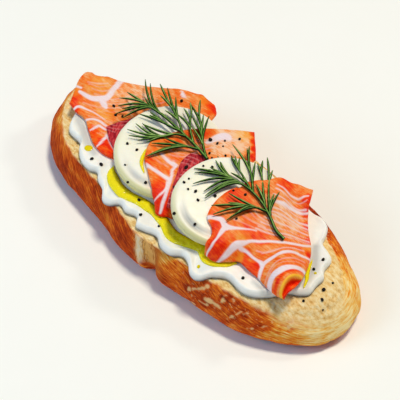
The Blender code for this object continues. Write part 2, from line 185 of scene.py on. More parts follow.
# The white lines of fat in the salmon: each runs smoothly through its points, with a half-width at each.
FAT = {
    "salmon_1": (
        ((-82, -4.5, 0.7), (-75.5, -2.5, 1.2), (-71.5, 1.5, 1.8), (-71, 5, 1.6), (-74, 15.5, 1.2)),
        ((-71.5, 1, 1.6), (-68.5, 0, 1.5), (-66.5, -0.5, 0.8)),
        ((-85.5, -3.5, 0.6), (-83, -2.5, 0.5)),
        ((-76, -12.5, 0.5), (-75.5, -10, 0.6), (-71, -7.5, 0.3), (-60.5, -5.5, 0.2)),
        ((-66.5, -13, 0.5), (-64.5, -9.5, 0.5), (-61, -8, 0.6), (-57, -7.5, 0.5)),
        ((-60.5, -15.5, 0.3), (-59.5, -10.5, 0.7), (-55.5, -9.5, 0.5)),
        ((-49.5, -20, 0.3), (-51, -15, 0.6), (-52, -11.5, 0.8)),
        ((-51.5, -11.5, 0.8), (-47, -13.5, 0.7), (-39.5, -15.5, 0.6)),
        ((-47.5, 34.5, 0.5), (-45, 33.5, 0.8), (-43.5, 33.5, 0.4)),
    ),
    "salmon_2": (
        ((-17.5, -4.5, 0.8), (-13.5, -4.5, 0.9), (-8.5, -4, 1.1)),
        ((-18.5, -14.5, 0.7), (-12.5, -13.5, 0.8), (-4, -11.5, 1.0)),
        ((-4, -13, 0.5), (-1.5, -16.5, 0.4), (-1, -22.5, 0.2)),
        ((-3, -12.5, 0.9), (1, -19, 0.7), (4, -24, 0.3)),
        ((-3, -12, 0.6), (-7, -7.5, 0.5), (-8, -4.5, 0.5)),
        ((-9, 17, 1.2), (-7.5, 24, 2.0), (-6, 26.5, 2.2), (-4, 27, 1.2)),
    ),
    "salmon_3": (
        ((28, -16, 0.8), (30, -13.5, 0.9), (32.5, -12, 1.2), (36.5, -12.5, 1.6)),
        ((36.5, -12, 1.5), (40.5, -8, 0.5), (46, -2.5, 0.2)),
        ((36.5, -13.5, 1.1), (38, -18.5, 0.5), (37.5, -24, 0.4)),
        ((42.5, -23.5, 0.3), (43.5, -20, 0.6), (45, -14, 1.0), (48, -7.5, 0.6), (54, -0.5, 0.6),
         (60.5, 5.5, 0.7), (65.5, 14.5, 0.5)),
        ((46.5, -12.5, 0.8), (50, -11, 0.5), (57, -10, 0.5), (60.5, -10, 1.0)),
        ((60.5, -10, 1.1), (62.5, -4, 0.7), (65.5, 1, 0.8), (70.5, 8, 0.5)),
        ((61, -10, 1.0), (64, -15.5, 0.7)),
        # This broad white band is a painted highlight, drawn like the fat.
        ((41, 16, 0.7), (45, 20, 0.9), (52.5, 26.5, 0.4)),
    ),
}
# On the rolled tip, lines are measured from it: sideways to the right, back along the roll, half-width.
TIP = (79.3, -14.5)
TIP_AHEAD = (0.742, -0.671)
TIP_BAND = ((-6.5, 3.5, 1.0), (-4.5, 8.5, 1.1), (-2, 10.5, 1.1), (1, 12, 1.1), (8.5, 13, 0.7))
TIP_LIP = ((-0.4, -1.0), (-0.6, 2.0), (-0.2, 4.4), (1.0, 6.5), (2.9, 8.1), (5.4, 9.2), (7.9, 10.4))
TIP_HEIGHT = 8.2
MOUTH_DEPTH = 4.5
MOUTH_THICK = 0.6  # how thick the slice still is where it is sunk deepest
# The heights at which parts of the slices that stand clear of the loaf and the cheese are held.
POINTED_HOLD = 33.4
POINTED_RISE = 3.6
CORNER_HOLD = 34.2
SALMON_2_HOLD = 40.2
ROLL_HOLD = 31.0
SALMON_3_HOLD = 39.0
# Families of thin lines: the first line, the last one, how many, a half-width and how white they are.
FINE_FAT = {
    "salmon_1": (
        (((-83, 2), (-80, 4), (-77, 9)), ((-66, -3), (-58, 6), (-50, 24)), 9, 0.3, 0.4),
        (((-76, -7), (-70, -4), (-64, -1)), ((-58, -14), (-54, -10), (-48, -8)), 5, 0.3, 0.3),
    ),
    "salmon_2": (
        (((-22, -10), (-16, -9), (-10, -7)), ((-19, -1), (-14, 0), (-10, 1)), 4, 0.25, 0.35),
        (((-16, -2), (-10, 2), (-8, 8)), ((-14, 14), (-6, 24), (2, 34)), 6, 0.3, 0.4),
    ),
    "salmon_3": (
        (((34, 22), (41, 25), (47, 31)), ((40, 12), (48, 17), (56, 23)), 5, 0.4, 0.85),
        (((42, 10), (49, 14), (58, 21)), ((45, -2), (54, 4), (64, 14)), 6, 0.4, 0.75),
        (((38, 4), (42, 4), (46, 5)), ((36, -6), (42, -3), (48, 0)), 4, 0.3, 0.45),
        (((55.9, -6.8), (59.5, -3.3), (66, 8)), ((52, -8), (57, -5), (63.5, 5)), 2, 0.3, 0.6),
        (((68, -14), (66, -6), (71, 3)), ((70, -14.5), (68, -8), (73, 1)), 2, 0.3, 0.4),
    ),
}
# How deep the orange is: the slice's own depth, then soft patches as place, radius and change. The deeper
# red patches along the near edges, where the slices turn down, are painted shade.
DEPTH = {
    "salmon_1": (0.36, ((-82, -8, 4, 0.45), (-78, -11.5, 4, 0.3), (-76, -13, 3, 0.3), (-60, -17, 6, 0.3),
                        (-45, -19.5, 9, 0.45), (-50, -15, 4, 0.3), (-78, 4, 6, 0.1), (-62, 15, 13, -0.16),
                        (-34, 39, 4, 0.4), (-27.5, 38.5, 4, 0.6))),
    "salmon_2": (0.45, ((-3, -19, 6, 0.4), (1, -21, 5, 0.35), (5, -24, 3.5, 0.5), (-21, -12, 4, 0.25),
                        (-2, 25, 13, -0.5), (-13, 20, 5, 0.3), (13, 28, 2.6, 0.9), (9.5, 31.5, 2.6, 0.9),
                        (5.5, 34.8, 2.6, 0.9), (1.5, 38, 2.6, 0.8))),
    "salmon_3": (0.42, ((39.5, -20.5, 5, 0.5), (33, -16, 4, 0.35), (27, 1, 6, 0.4), (33, 1, 5, 0.25),
                        (41, -3, 3, 0.25), (45, -6, 4, 0.3), (50, -3, 4, 0.3), (47, 15, 12, -0.26),
                        (36, 26, 4, 0.35), (48, 30, 3, 0.45), (52, 26.5, 3, 0.45), (57, 21.5, 3, 0.5),
                        (63, 16, 3, 0.5), (69, 10, 3, 0.45), (51, -14.5, 5, 0.4), (58, -13, 4, 0.45))),
}
# Where a slice is more golden than red: soft patches as place, radius and strength.
GOLD = {
    "salmon_1": ((-76, 5, 8, 0.35), (-64, -4, 6, 0.3), (-35.5, 38.5, 3.5, 0.3), (-83, -6, 3, 0.3)),
    "salmon_2": ((-1, 33, 5, 0.4), (-18, -5, 5, 0.25)),
    "salmon_3": ((45, -10, 4, 0.3), (49, -14.5, 2.5, 0.5), (66, 12, 3, 0.3)),
}

# The dill: each stem as points in space, how far its leaflets may hang below it, and the leaflets: where
# each tip is, and the share of the stem at which it grows.
SPRIGS = {
    "dill_1": (
        (((1, 8, 45.5), (-9.5, 9.5, 45.5), (-20.5, 10.5, 45), (-33.5, 11, 45), (-50, 10.5, 43.5)), 4.5,
         ((-63.5, 11.5, 0.95), (-63, 6, 0.95), (-59, 2, 0.9), (-56, 2, 0.85), (-55.5, -3, 0.85),
          (-51, -2, 0.85), (-54.5, 15.5, 0.8), (-63.5, 23.5, 0.75), (-59.5, 23.5, 0.7), (-38, 12.5, 0.55))),
        (((-20, 10.5, 45), (-27.5, 14.5, 45), (-42.5, 20, 45)), 0.7,
         ((-53, 24.5, 0.9), (-48.5, 25.5, 0.4), (-41, 24.5, 0.3), (-47, 19.5, 0.7), (-37.5, 14.5, 0.3))),
        (((-11.5, 10, 45.5), (-20, 15.5, 45.5), (-28, 23.5, 45.5)), 0.7,
         ((-33, 27, 0.9), (-32, 22, 0.6), (-31, 17, 0.4))),
        (((-0.5, 8.5, 45.5), (-7, 12.5, 45.5), (-24, 25, 45.5)), 0.7,
         ((-31, 32, 0.95), (-20, 28, 0.3), (-22.5, 26.5, 0.45), (-26, 21.5, 0.4), (-21, 17, 0.2),
          (-32.5, 26.5, 0.7))),
        (((-17, 10, 45.5), (-21.5, 7.5, 45), (-24.5, 2.5, 44.5)), 1.5,
         ((-37.5, -9, 0.8), (-41, -7, 0.7), (-32, -8, 0.6), (-28, -6, 0.4), (-41, -1.5, 0.9),
          (-39, 1, 0.85), (-38, 1, 0.45))),
        (((-6.5, 9, 45.5), (-11.5, 6, 45.5), (-17, 2.5, 45)), 1.0,
         ((-20.5, -12.5, 0.55), (-20, -11.5, 0.35), (-25, -5, 0.75), (-23.5, 2, 0.3))),
        (((-22, 10.5, 45), (-29.5, 8.5, 45), (-41.5, 8.5, 44)), 1.0,
         ((-44.5, 3.5, 0.35), (-40.5, 7, 0.5))),
    ),
    "dill_2": (
        (((58, 4.5, 40.5), (52.5, 4.5, 42), (45.5, 7, 44), (37, 9, 46), (27.5, 8.5, 48), (16, 4.5, 50)), 0.7,
         ((4.5, -3.5, 0.95), (6.5, -5, 0.9), (9, 2.5, 0.9), (4.5, 11.5, 0.85), (7.5, 7.5, 0.9),
          (11, -10, 0.85), (17, -8.5, 0.85), (19, -9.5, 0.8), (20, -10.5, 0.75), (20, -6, 0.8))),
        (((32, 9, 47), (26.5, 13.5, 47.5), (17, 20, 48)), 0.7,
         ((9.5, 27.5, 0.85), (9.5, 26, 0.65), (3, 22.5, 0.5), (19, 22.5, 0.2))),
        (((41.5, 8, 45), (35, 13, 46), (24.5, 21.5, 46.5)), 0.7,
         ((20, 23, 0.8), (19.5, 27, 0.95), (29.5, 13, 0.1))),
        (((45.5, 7.5, 44), (38, 13.5, 45.5), (28, 23, 46)), 1.0,
         ((19, 30.5, 0.95), (26.5, 27, 0.7), (38.5, 16.5, 0.1), (39, 19.5, 0.0))),
        (((43.5, 7.5, 44.5), (39.5, 4.5, 46.5), (35.5, 0, 48.5)), 0.7,
         ((25.5, -0.5, 0.4), (29, -4, 0.8), (24.5, -10.5, 0.7), (29.5, -14, 0.55), (35.5, -11, 0.35),
          (36, -6.5, 0.65))),
        (((30.5, 9, 47.5), (22.5, 11.5, 48.5), (15.5, 13, 49.5)), 0.7,
         ((9.5, 15.5, 0.9), (13, 18, 0.7), (11, 17, 0.8), (17, 8.5, 0.2))),
    ),
}
LEAFLET_LIE = 1.6  # how high the tip of a leaflet lies above what is under it
LEAFLET_TOP = 50.5  # no tip of a leaflet is higher than this
STEM_RADIUS = 0.9
STEM_STEPS = 60
LEAFLET_RADIUS = 0.62
LEAFLET_SEGMENTS = 22

# The pepper: places in plan for each size of grain.
PEPPER = {
    2.0: ((-40, -25), (-3, -2), (-43, 30), (-9, 19)),
    1.7: ((-46, -26), (-12, -20), (-10, -26), (-3, -31), (16, -26), (14, -11), (-64, 3), (74, 15),
          (57, -20), (84, 6), (87, 2), (21, -5)),
    1.5: ((-35, -12), (-29, -11), (-18, -26), (26, -22), (2, -14), (18, -13), (-59, 0), (-5, 20),
          (0, 30), (-3, 13), (75, 8), (82, -5)),
    1.3: ((-26, -21), (8, -29), (7, -9), (7, -12), (11, -13), (-56, 2), (3, 18), (0, 12), (9, 4),
          (6, 1), (37, -6), (30, 6)),
    1.1: ((-4, 24), (-2, 21), (84, 12), (90, 0), (25, 3)),
}
# Drops of oil: places in plan, with radii.
OIL_DROPS = ((-53, -22.5, 2.1), (77, 7, 0.7), (37.5, -30, 0.8))
DROP_HEIGHT = 0.45
DROP_SINK = 0.6  # how far its underside goes into the soft cheese
DROP_AROUND = 28
STREAK_CLIMB = 1.2  # the most that a streak rises along its way
# Thin streaks of oil, as middle lines with half-widths.
OIL_STREAKS = (
    ((-25, -5, 0.5), (-25.5, -8, 0.9), (-22, -14, 1.0), (-16, -17.5, 0.5)),
    ((70.5, 11.5, 0.3), (74.5, 4.5, 0.9), (77, 1.5, 0.9), (79.5, -3, 0.4)),
)
# Pale blisters on the near side of the crust: from place and height to place and height, half-width.
BLISTERS = (
    (36, 15.5, 45.5, 23, 0.9), (46.5, 17, 54.5, 16.5, 1.2), (44, 13.5, 52, 14.5, 0.6),
    (55, 21, 55.5, 21.5, 1.1), (59, 24, 60, 23.5, 0.9), (55, 24.5, 56, 24.5, 0.7),
    (59.5, 12.5, 64.5, 19.5, 0.6), (72, 23.5, 72.5, 23, 0.8), (83.5, 16.5, 84, 16.5, 0.9),
    (85, 18, 85.5, 17.5, 0.8), (81.5, 20.5, 82, 20, 0.8), (66, 19, 67, 20, 0.6),
    (75, 15, 76.5, 16, 0.5), (69.5, 12, 71.5, 13, 0.5), (38, 8, 41, 8.5, 0.5),
)

CAMERA = {"target": (1.8, 2.6, 20.0), "azimuth": 48.4, "elevation": 50.0, "distance": 735.0, "lens": 135.0}

# Random numbers between which noise runs smoothly.
LATTICE = np.random.default_rng(11).random((32, 32, 32)) * 2 - 1
laid = []  # search trees for the surfaces of the pieces laid so far


# ---------------------------------------------------------------- curves, noise and meshes


def smooth_curve(points, shares, closed=False):
    """Points at the given shares of the length of a smooth curve that runs through the given ones."""
    knots = np.array(points, float)
    if closed:
        padded = np.vstack([knots[-1:], knots, knots[:2]])
    else:
        padded = np.vstack([2 * knots[:1] - knots[1:2], knots, 2 * knots[-1:] - knots[-2:-1]])
    t = np.linspace(0, 1, 24, endpoint=False)[:, None]
    spans = []
    for a, b, c, d in zip(padded, padded[1:], padded[2:], padded[3:]):
        cubic = 3 * b - a - 3 * c + d
        square = 2 * a - 5 * b + 4 * c - d
        spans.append(b + 0.5 * ((c - a) * t + square * t**2 + cubic * t**3))
    fine = np.vstack(spans + [padded[-2:-1]])
    steps = np.linalg.norm(np.diff(fine, axis=0), axis=1)
    along = np.concatenate([[0], np.cumsum(steps)])
    places = np.asarray(shares) * along[-1]
    return np.column_stack([np.interp(places, along, column) for column in fine.T])


def even(count, closed=False):
    """Evenly spaced shares from 0 to 1."""
    return np.linspace(0, 1, count, endpoint=not closed)


def crowded(count):
    """Shares from 0 to 1 that stand closer together at both ends."""
    share = even(count)
    return share - 0.11 * np.sin(math.tau * share)


def hump(x, middle, width):
    """A smooth hump, 1 high, whose half-width is about the width given."""
    return np.exp(-(((x - middle) / width) ** 2))


def ramp(x, start, end):
    """0 before start, 1 after end, and smooth in between."""
    t = np.clip((x - start) / (end - start), 0, 1)
    return t * t * (3 - 2 * t)


def noise(places, size):
    """Smooth noise from -1 to 1 at places in space, with lumps of about the size given."""
    cell = np.asarray(places) / size
    base = np.floor(cell).astype(int)
    t = cell - base
    t = t * t * (3 - 2 * t)
    total = np.zeros(cell.shape[:-1])
    for corner in itertools.product((0, 1), repeat=3):
        weight = np.prod(np.where(corner, t, 1 - t), axis=-1)
        index = (base + corner) % len(LATTICE)
        total += weight * LATTICE[index[..., 0], index[..., 1], index[..., 2]]
    return total


def spread_out(outline, distance, spine_half):
    """The outline moved outwards by a distance, straight away from a line along the middle."""
    foot = np.column_stack([np.clip(outline[:, 0], -spine_half, spine_half), outline[:, 1] * 0])
    away = outline - foot
    length = np.linalg.norm(away, axis=1, keepdims=True)
    return outline + away / length * np.reshape(distance, (-1, 1))


def with_height(plan, height):
    """Plan points, in an array of any shape, with a height added."""
    return np.concatenate([plan, np.broadcast_to(height, plan.shape[:-1])[..., None]], axis=-1)


def grid_faces(rows, columns, closed=False, start=0):
    """The faces of a grid of corners; closed joins each row's end to its start."""
    index = start + np.arange(rows * columns).reshape(rows, columns)
    if closed:
        index = np.column_stack([index, index[:, 0]])
    corners = (index[:-1, :-1], index[:-1, 1:], index[1:, 1:], index[1:, :-1])
    return np.stack(corners, axis=-1).reshape(-1, 4).tolist()


def closed_rings(grid):
    """Corners and faces of a grid whose rows are rings, with a face over its first and last ring."""
    rows, columns = grid.shape[:2]
    faces = grid_faces(rows, columns, closed=True)
    faces += [list(range(columns))[::-1], list(range((rows - 1) * columns, rows * columns))]
    return grid.reshape(-1, 3), faces


def surface_normals(grid, closed=False):
    """Unit normals of a grid of points; for rings that run anticlockwise upwards they point out."""
    if closed:
        across = np.roll(grid, -1, axis=1) - np.roll(grid, 1, axis=1)
    else:
        across = np.gradient(grid, axis=1)
    normals = np.cross(across, np.gradient(grid, axis=0))
    return normals / np.maximum(np.linalg.norm(normals, axis=-1, keepdims=True), 1e-9)


def add_piece(name, corners, faces, finish, node=None, marks=None):
    """A smooth piece from corners in millimetres; marks are numbers at each corner for its finish."""
    mesh = bpy.data.meshes.new(name)
    mesh.from_pydata((np.asarray(corners) * MM).tolist(), [], faces)
    for mark, values in (marks or {}).items():
        values = np.asarray(values, np.float32)
        if values.ndim == 2:
            mesh.attributes.new(mark, "FLOAT_VECTOR", "POINT").data.foreach_set("vector", values.ravel())
        else:
            mesh.attributes.new(mark, "FLOAT", "POINT").data.foreach_set("value", values)
    shape = bmesh.new()
    shape.from_mesh(mesh)
    bmesh.ops.recalc_face_normals(shape, faces=shape.faces)
    shape.to_mesh(mesh)
    shape.free()
    mesh.shade_smooth()
    piece = bpy.data.objects.new(name, mesh)
    bpy.context.scene.collection.objects.link(piece)
    mesh.materials.append(finish)
    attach(piece, "root")
    if node:
        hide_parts(node)
    return piece


def lay(corners, faces):
    """Let later pieces rest on this one."""
    laid.append(BVHTree.FromPolygons(np.asarray(corners).tolist(), faces))


def height_below(x, y, default=0.0):
    """The height of the highest piece laid so far at a place in plan, or the default if it is higher."""
    best = default
    for tree in laid:
        hit = tree.ray_cast(Vector((x, y, SKY)), Vector((0, 0, -1)))[0]
        if hit is not None:
            best = max(best, hit.z)
    return best


def heights_below(plan, default=0.0):
    """The same for a whole array of plan points."""
    flat = plan.reshape(-1, 2)
    return np.reshape([height_below(x, y, default) for x, y in flat], plan.shape[:-1])


def rounded_average(values, reach):
    """Values round a ring, each averaged over its neighbours up to a reach each way."""
    return sum(np.roll(values, step) for step in range(-reach, reach + 1)) / (2 * reach + 1)


# ---------------------------------------------------------------- finishes


def screen(red, green, blue):
    """A colour as on a screen, 0 to 255, turned into what a shader takes."""
    share = np.array([red, green, blue]) / 255
    linear = np.where(share <= 0.04045, share / 12.92, ((share + 0.055) / 1.055) ** 2.4)
    return (*linear.tolist(), 1)


class Finish:
    """A material whose nodes are added one call at a time; each call returns the node's output."""

    def __init__(self, name, **sockets):
        self.material = bpy.data.materials.new(name)
        self.material.use_nodes = True
        self.tree = self.material.node_tree
        self.shader = self.tree.nodes["Principled BSDF"]
        for socket, value in sockets.items():
            self.shader.inputs[socket.replace("_", " ")].default_value = value
        self.place = self.add("TexCoord", {}, "Object")

    def add(self, kind, inputs, output=0, **settings):
        """A new node, its settings set and its inputs fed, by name or number."""
        node = self.tree.nodes.new("ShaderNode" + kind)
        for key, value in settings.items():
            setattr(node, key, value)
        for key, value in inputs.items():
            if isinstance(value, bpy.types.NodeSocket):
                self.tree.links.new(value, node.inputs[key])
            else:
                node.inputs[key].default_value = value
        return node.outputs[output]

    def mark(self, name, output="Fac"):
        """What the mesh says at each corner under that name."""
        return self.add("Attribute", {}, output, attribute_name=name)

    def stretched(self, sizes, turn=(0, 0, 0), along=None):
        """Places in space, turned by degrees and measured in the sizes given, in millimetres."""
        angles = [math.radians(angle) for angle in turn]
        turned = self.add("Mapping", {"Vector": along or self.place, "Rotation": angles})
        scale = [1 / (size * MM) for size in sizes]
        return self.add("Mapping", {"Vector": turned, "Scale": scale})

    def noise(self, sizes, turn=(0, 0, 0), detail=3.0, rough=0.55, twist=0.0, along=None):
        """Noise from 0 to 1 with lumps of one size or three, in space or along the places given."""
        sizes = sizes if isinstance(sizes, tuple) else (sizes, sizes, sizes)
        inputs = {"Vector": self.stretched(sizes, turn, along), "Scale": 1.0, "Detail": detail,
                  "Roughness": rough, "Distortion": twist}
        return self.add("TexNoise", inputs)

    def ramp(self, value, *stops):
        """Screen colours or greys along a value, each stop as a place and a colour."""
        output = self.add("ValToRGB", {"Fac": value})
        band = output.node.color_ramp
        while len(band.elements) < len(stops):
            band.elements.new(1.0)
        for element, (place, colour) in zip(band.elements, stops):
            element.position = place
            element.color = screen(*colour) if isinstance(colour, tuple) else (colour, colour, colour, 1)
        return output

    def mix(self, share, first, second, blend="MIX"):
        """The second colour over the first, as far as the share says."""
        return self.add("Mix", {0: share, 6: first, 7: second}, 2, data_type="RGBA", blend_type=blend)

    def maths(self, operation, first, second=0.5, third=0.0):
        """Arithmetic on up to three numbers."""
        return self.add("Math", {0: first, 1: second, 2: third}, operation=operation)

    def total(self, first, *others):
        """The sum of any count of numbers."""
        for other in others:
            first = self.maths("ADD", first, other)
        return first

    def centred(self, value, share):
        """A number from 0 to 1 turned into one from minus half the share to plus half of it."""
        return self.maths("MULTIPLY_ADD", value, share, -share / 2)

    def colour(self, value):
        """Let the surface take its colour from a value."""
        self.tree.links.new(value, self.shader.inputs["Base Color"])

    def relief(self, height, depth):
        """Fine relief, as deep as given in millimetres."""
        bump = self.add("Bump", {"Height": height, "Distance": depth * MM, "Strength": 1.0})
        self.tree.links.new(bump, self.shader.inputs["Normal"])


def bread_finish():
    """Crust from dark brown to pale gold, streaked, blistered and torn, and a pale crumb with pores; the
    torn patch carries a grey-white painted highlight.
    """
    make = Finish("bread", Roughness=0.75, Specular_IOR_Level=0.04)
    grain = make.mark("grain", "Vector")
    fine = make.noise((0.42, 0.42, 0.36), detail=2, rough=0.5, twist=0.4, along=grain)
    streak = make.noise(1.1, detail=3, rough=0.55, along=grain)
    patch = make.noise(7.0, detail=3)
    change = make.maths("MULTIPLY_ADD", fine, 0.85, -0.42)
    shade = make.total(make.mark("tone"), change, make.centred(streak, 0.8), make.centred(patch, 0.7))
    crust = make.ramp(
        shade, (0.0, (100, 26, 6)), (0.25, (170, 54, 14)), (0.45, (214, 88, 22)),
        (0.62, (238, 138, 38)), (0.8, (246, 190, 86)), (1.0, (255, 230, 166)),
    )
    fleck = make.noise((0.22, 0.22, 1.0), detail=2, rough=0.5, twist=0.8, along=grain)
    flour = make.maths("MULTIPLY", make.ramp(fleck, (0.64, 0.0), (0.70, 0.7)), make.mark("flour"))
    pale = make.maths("MAXIMUM", flour, make.mark("blister"))
    crust = make.mix(make.maths("MULTIPLY", pale, 0.9), crust, screen(238, 196, 132))
    fibre = make.noise((0.8, 0.8, 5.0), detail=3, rough=0.6)
    # Across the torn patch: brown lines along its folds, pale bands, and a grey-white painted highlight in
    # the first pale band.
    torn = make.ramp(
        make.maths("MULTIPLY_ADD", fibre, 0.6, make.mark("across")), (0.26, (190, 118, 56)),
        (0.34, (236, 200, 140)), (0.48, (232, 214, 178)), (0.6, (236, 198, 134)),
        (0.66, (176, 110, 48)), (0.72, (230, 172, 92)), (0.9, (232, 180, 104)),
        (1.0, (190, 110, 44)),
    )
    crust = make.mix(make.mark("torn"), crust, torn)
    pores = make.noise((4.0, 1.6, 1.6), detail=4, rough=0.62)
    crumb = make.ramp(
        pores, (0.3, (212, 156, 78)), (0.47, (240, 204, 136)), (0.66, (250, 230, 180)),
    )
    make.colour(make.mix(make.mark("baked"), crumb, crust))
    make.relief(make.maths("ADD", fine, streak), 0.2)
    return make.material


def cream_finish():
    """White soft cheese, smooth and a little moist, with painted shade: blue-grey low on its rounded edges
    and grey beside the fish.
    """
    make = Finish("cream", Roughness=0.42, Subsurface_Weight=0.15, Subsurface_Scale=1.5 * MM,
                  Subsurface_Radius=(1.0, 0.85, 0.7), Specular_IOR_Level=0.3)
    patch = make.noise(7.0)
    white = make.ramp(patch, (0.3, (240, 239, 228)), (0.6, (251, 248, 235)))
    # Painted shade: the shade mark darkens the white to blue-grey at the foot of the edges and beside the
    # fish.
    under = make.ramp(
        make.mark("shade"), (0.0, (255, 255, 255)), (0.3, (230, 232, 233)),
        (0.6, (186, 188, 194)), (0.8, (122, 124, 138)), (1.0, (84, 86, 102)),
    )
    make.colour(make.mix(1.0, white, under, "MULTIPLY"))
    make.relief(make.noise(1.8, detail=2), 0.12)
    return make.material


def oil_finish():
    """Clear yellow oil, with painted shade that browns it on the side next to the cheese."""
    make = Finish("oil", Roughness=0.08, Subsurface_Weight=0.4, Subsurface_Scale=2.5 * MM,
                  Subsurface_Radius=(1.0, 0.9, 0.1), Specular_IOR_Level=0.4, IOR=1.47)
    # Painted shade: this mark browns the oil beside the cheese; on drops and the underside it is a plain
    # tone.
    tone_and_painted_shade = make.total(make.mark("tone_and_painted_shade"), make.centred(make.noise(4), 0.3))
    make.colour(make.ramp(
        tone_and_painted_shade, (0.0, (250, 228, 24)), (0.2, (242, 216, 2)),
        (0.5, (228, 200, 0)), (0.75, (200, 168, 0)), (1.0, (140, 108, 0)),
    ))
    make.relief(make.noise(1.6, detail=1), 0.5)
    return make.material


def mozzarella_finish():
    """Ivory cheese, smooth and moist, with painted shade: grey-blue in its crease and a greener yellow on
    its lower rim.
    """
    make = Finish("mozzarella", Roughness=0.38, Subsurface_Weight=0.25, Subsurface_Scale=2 * MM,
                  Subsurface_Radius=(1.0, 0.85, 0.65), Specular_IOR_Level=0.35)
    patch = make.noise(11.0, detail=2)
    ivory = make.ramp(patch, (0.35, (250, 243, 214)), (0.7, (252, 247, 230)))
    # Painted shade: greener yellow on the lower rim and underside, grey-blue in the crease.
    ivory = make.mix(make.mark("rim"), ivory, screen(212, 208, 152))
    make.colour(make.mix(make.mark("crease"), ivory, screen(108, 120, 132)))
    make.relief(make.noise(3.0, detail=3), 0.12)
    return make.material


def salmon_finish():
    """Orange flesh of varied depth with fine strokes in it, and white lines of fat."""
    make = Finish("salmon", Roughness=0.42, Subsurface_Weight=0.03, Subsurface_Scale=0.6 * MM,
                  Subsurface_Radius=(1.0, 0.35, 0.15), Specular_IOR_Level=0.12)
    stroke = make.noise((4.5, 0.5, 2.5), (0, 0, -15), detail=3, rough=0.55, twist=0.3)
    patch = make.noise((4.0, 2.5, 4.0), detail=2)
    wander = make.maths("MULTIPLY_ADD", patch, 0.9, -0.43)
    depth = make.total(make.mark("depth"), make.centred(stroke, 1.0), wander)
    flesh = make.ramp(
        depth, (0.0, (248, 200, 160)), (0.25, (247, 156, 84)), (0.5, (245, 114, 30)),
        (0.75, (247, 74, 8)), (1.0, (230, 34, 2)),
    )
    pale = make.ramp(stroke, (0.3, (240, 210, 206)), (0.7, (242, 230, 232)))
    flesh = make.mix(make.mark("gold"), flesh, screen(250, 184, 50))
    make.colour(make.mix(make.mark("fat"), flesh, pale))
    make.relief(make.maths("ADD", stroke, patch), 0.12)
    return make.material


def cured_finish():
    """Dark red fish with fine pale lines."""
    make = Finish("cured_fish", Roughness=0.28, Subsurface_Weight=0.1, Subsurface_Scale=1 * MM,
                  Subsurface_Radius=(1.0, 0.2, 0.2), Specular_IOR_Level=0.3)
    stroke = make.noise((0.9, 3.5, 2.0), (0, 0, -40), detail=4, rough=0.6, twist=0.3)
    flesh = make.ramp(
        stroke, (0.34, (112, 6, 20)), (0.5, (176, 28, 40)), (0.64, (212, 74, 72)),
    )
    make.colour(make.mix(make.mark("fat"), flesh, screen(222, 136, 134)))
    make.relief(stroke, 0.2)
    return make.material


def dill_finish():
    """Dark green, lighter on some leaflets, with a painted highlight along the top of each stem and leaflet.
    """
    make = Finish("dill", Roughness=0.42, Specular_IOR_Level=0.12)
    patch = make.noise(2.0, detail=2)
    tone = make.maths("MULTIPLY_ADD", patch, 0.4, make.mark("tone"))
    make.colour(make.ramp(
        tone, (0.25, (4, 18, 2)), (0.42, (24, 56, 12)), (0.7, (92, 138, 42)),
        (1.0, (200, 222, 140)),
    ))
    return make.material


def pepper_finish():
    """Black pepper with a few brown faces."""
    make = Finish("pepper", Roughness=0.7, Specular_IOR_Level=0.2)
    speck = make.noise(0.5, detail=2)
    make.colour(make.ramp(speck, (0.45, (10, 8, 8)), (0.75, (54, 38, 28))))
    return make.material


# ---------------------------------------------------------------- the pieces


def loaf_rings():
    """The rings of the loaf, up the crust and in over the cut face, and how far down each point is."""
    edge = smooth_curve(CUT_EDGE, even(LOAF_AROUND, closed=True), closed=True)
    x, y = edge.T
    near = ramp(-y, 0, 20)
    bulge = SIDE_BULGE + (POINTED_BULGE - SIDE_BULGE) * ramp(-x, 55, 90)
    bulge += (BLUNT_BULGE - SIDE_BULGE) * ramp(x, 55, 90)
    bulge -= near * SLACK_DEPTH * hump(x, SLACK_X, SLACK_WIDTH)
    pinch = near * PINCH_DEPTH * hump(x, PINCH_X, PINCH_WIDTH)
    drop = RIM_DROP + (BLUNT_DROP - RIM_DROP) * ramp(x, 55, 92)
    rings = []
    down = []
    for height, share, drawn_in in smooth_curve(CRUST_RINGS, even(CRUST_STEPS)):
        ring = spread_out(edge, share * (bulge - pinch) - drawn_in, SPINE_HALF)
        rings.append(with_height(ring, np.maximum(height, 0) * (1 - drop / LOAF_HEIGHT)))
        down.append(np.full(LOAF_AROUND, RIM + LOAF_HEIGHT - height))
    for drawn_in, share in smooth_curve(FACE_RINGS, even(FACE_STEPS))[1:]:
        ring = spread_out(edge, -drawn_in, SPINE_HALF)
        rings.append(with_height(ring, LOAF_HEIGHT - share * drop))
        down.append(np.full(LOAF_AROUND, RIM - drawn_in))
    return np.array(rings), np.array(down)


def torn_patch(grid, crust):
    """How far across the torn patch of crust each place is, from 0 to 1, and how much of it is torn."""
    across = (grid[..., 0] - 0.15 * (LOAF_HEIGHT - grid[..., 2]) - TEAR_FROM) / (TEAR_TO - TEAR_FROM)
    across = across + 0.07 * noise(grid, 7) + 0.03 * noise(grid, 2)
    tear = ramp(-grid[..., 1], 10, 25) * ramp(across, -0.1, 0.12) * ramp(-across, -1.3, -0.75) * crust
    return across, tear


def loaf_relief(grid, crust, across, tear):
    """Lumps and wrinkles on the crust, folds where it is torn, and pits in the crumb."""
    lumps = 0.55 * noise(grid, 15) + 0.28 * noise(grid, 6) + 0.12 * noise(grid, 2.2)
    wrinkles = 0.22 * noise(grid @ np.diag([0.45, 0.45, 1.6]), 2.4)
    pits = -0.9 * ramp(noise(grid, 2.6), 0.35, 0.75) - 0.25 * ramp(noise(grid, 1.3), 0.2, 0.7)
    face = 0.25 * noise(grid, 4) + pits
    folds = -0.7 * tear * (hump(across, 0.02, 0.06) + hump(across, 0.37, 0.06) + hump(across, 0.72, 0.07))
    calm = ramp(grid[..., 2], 0.6, 3.0)
    return calm * (crust * (lumps + wrinkles) + (1 - crust) * face + folds)


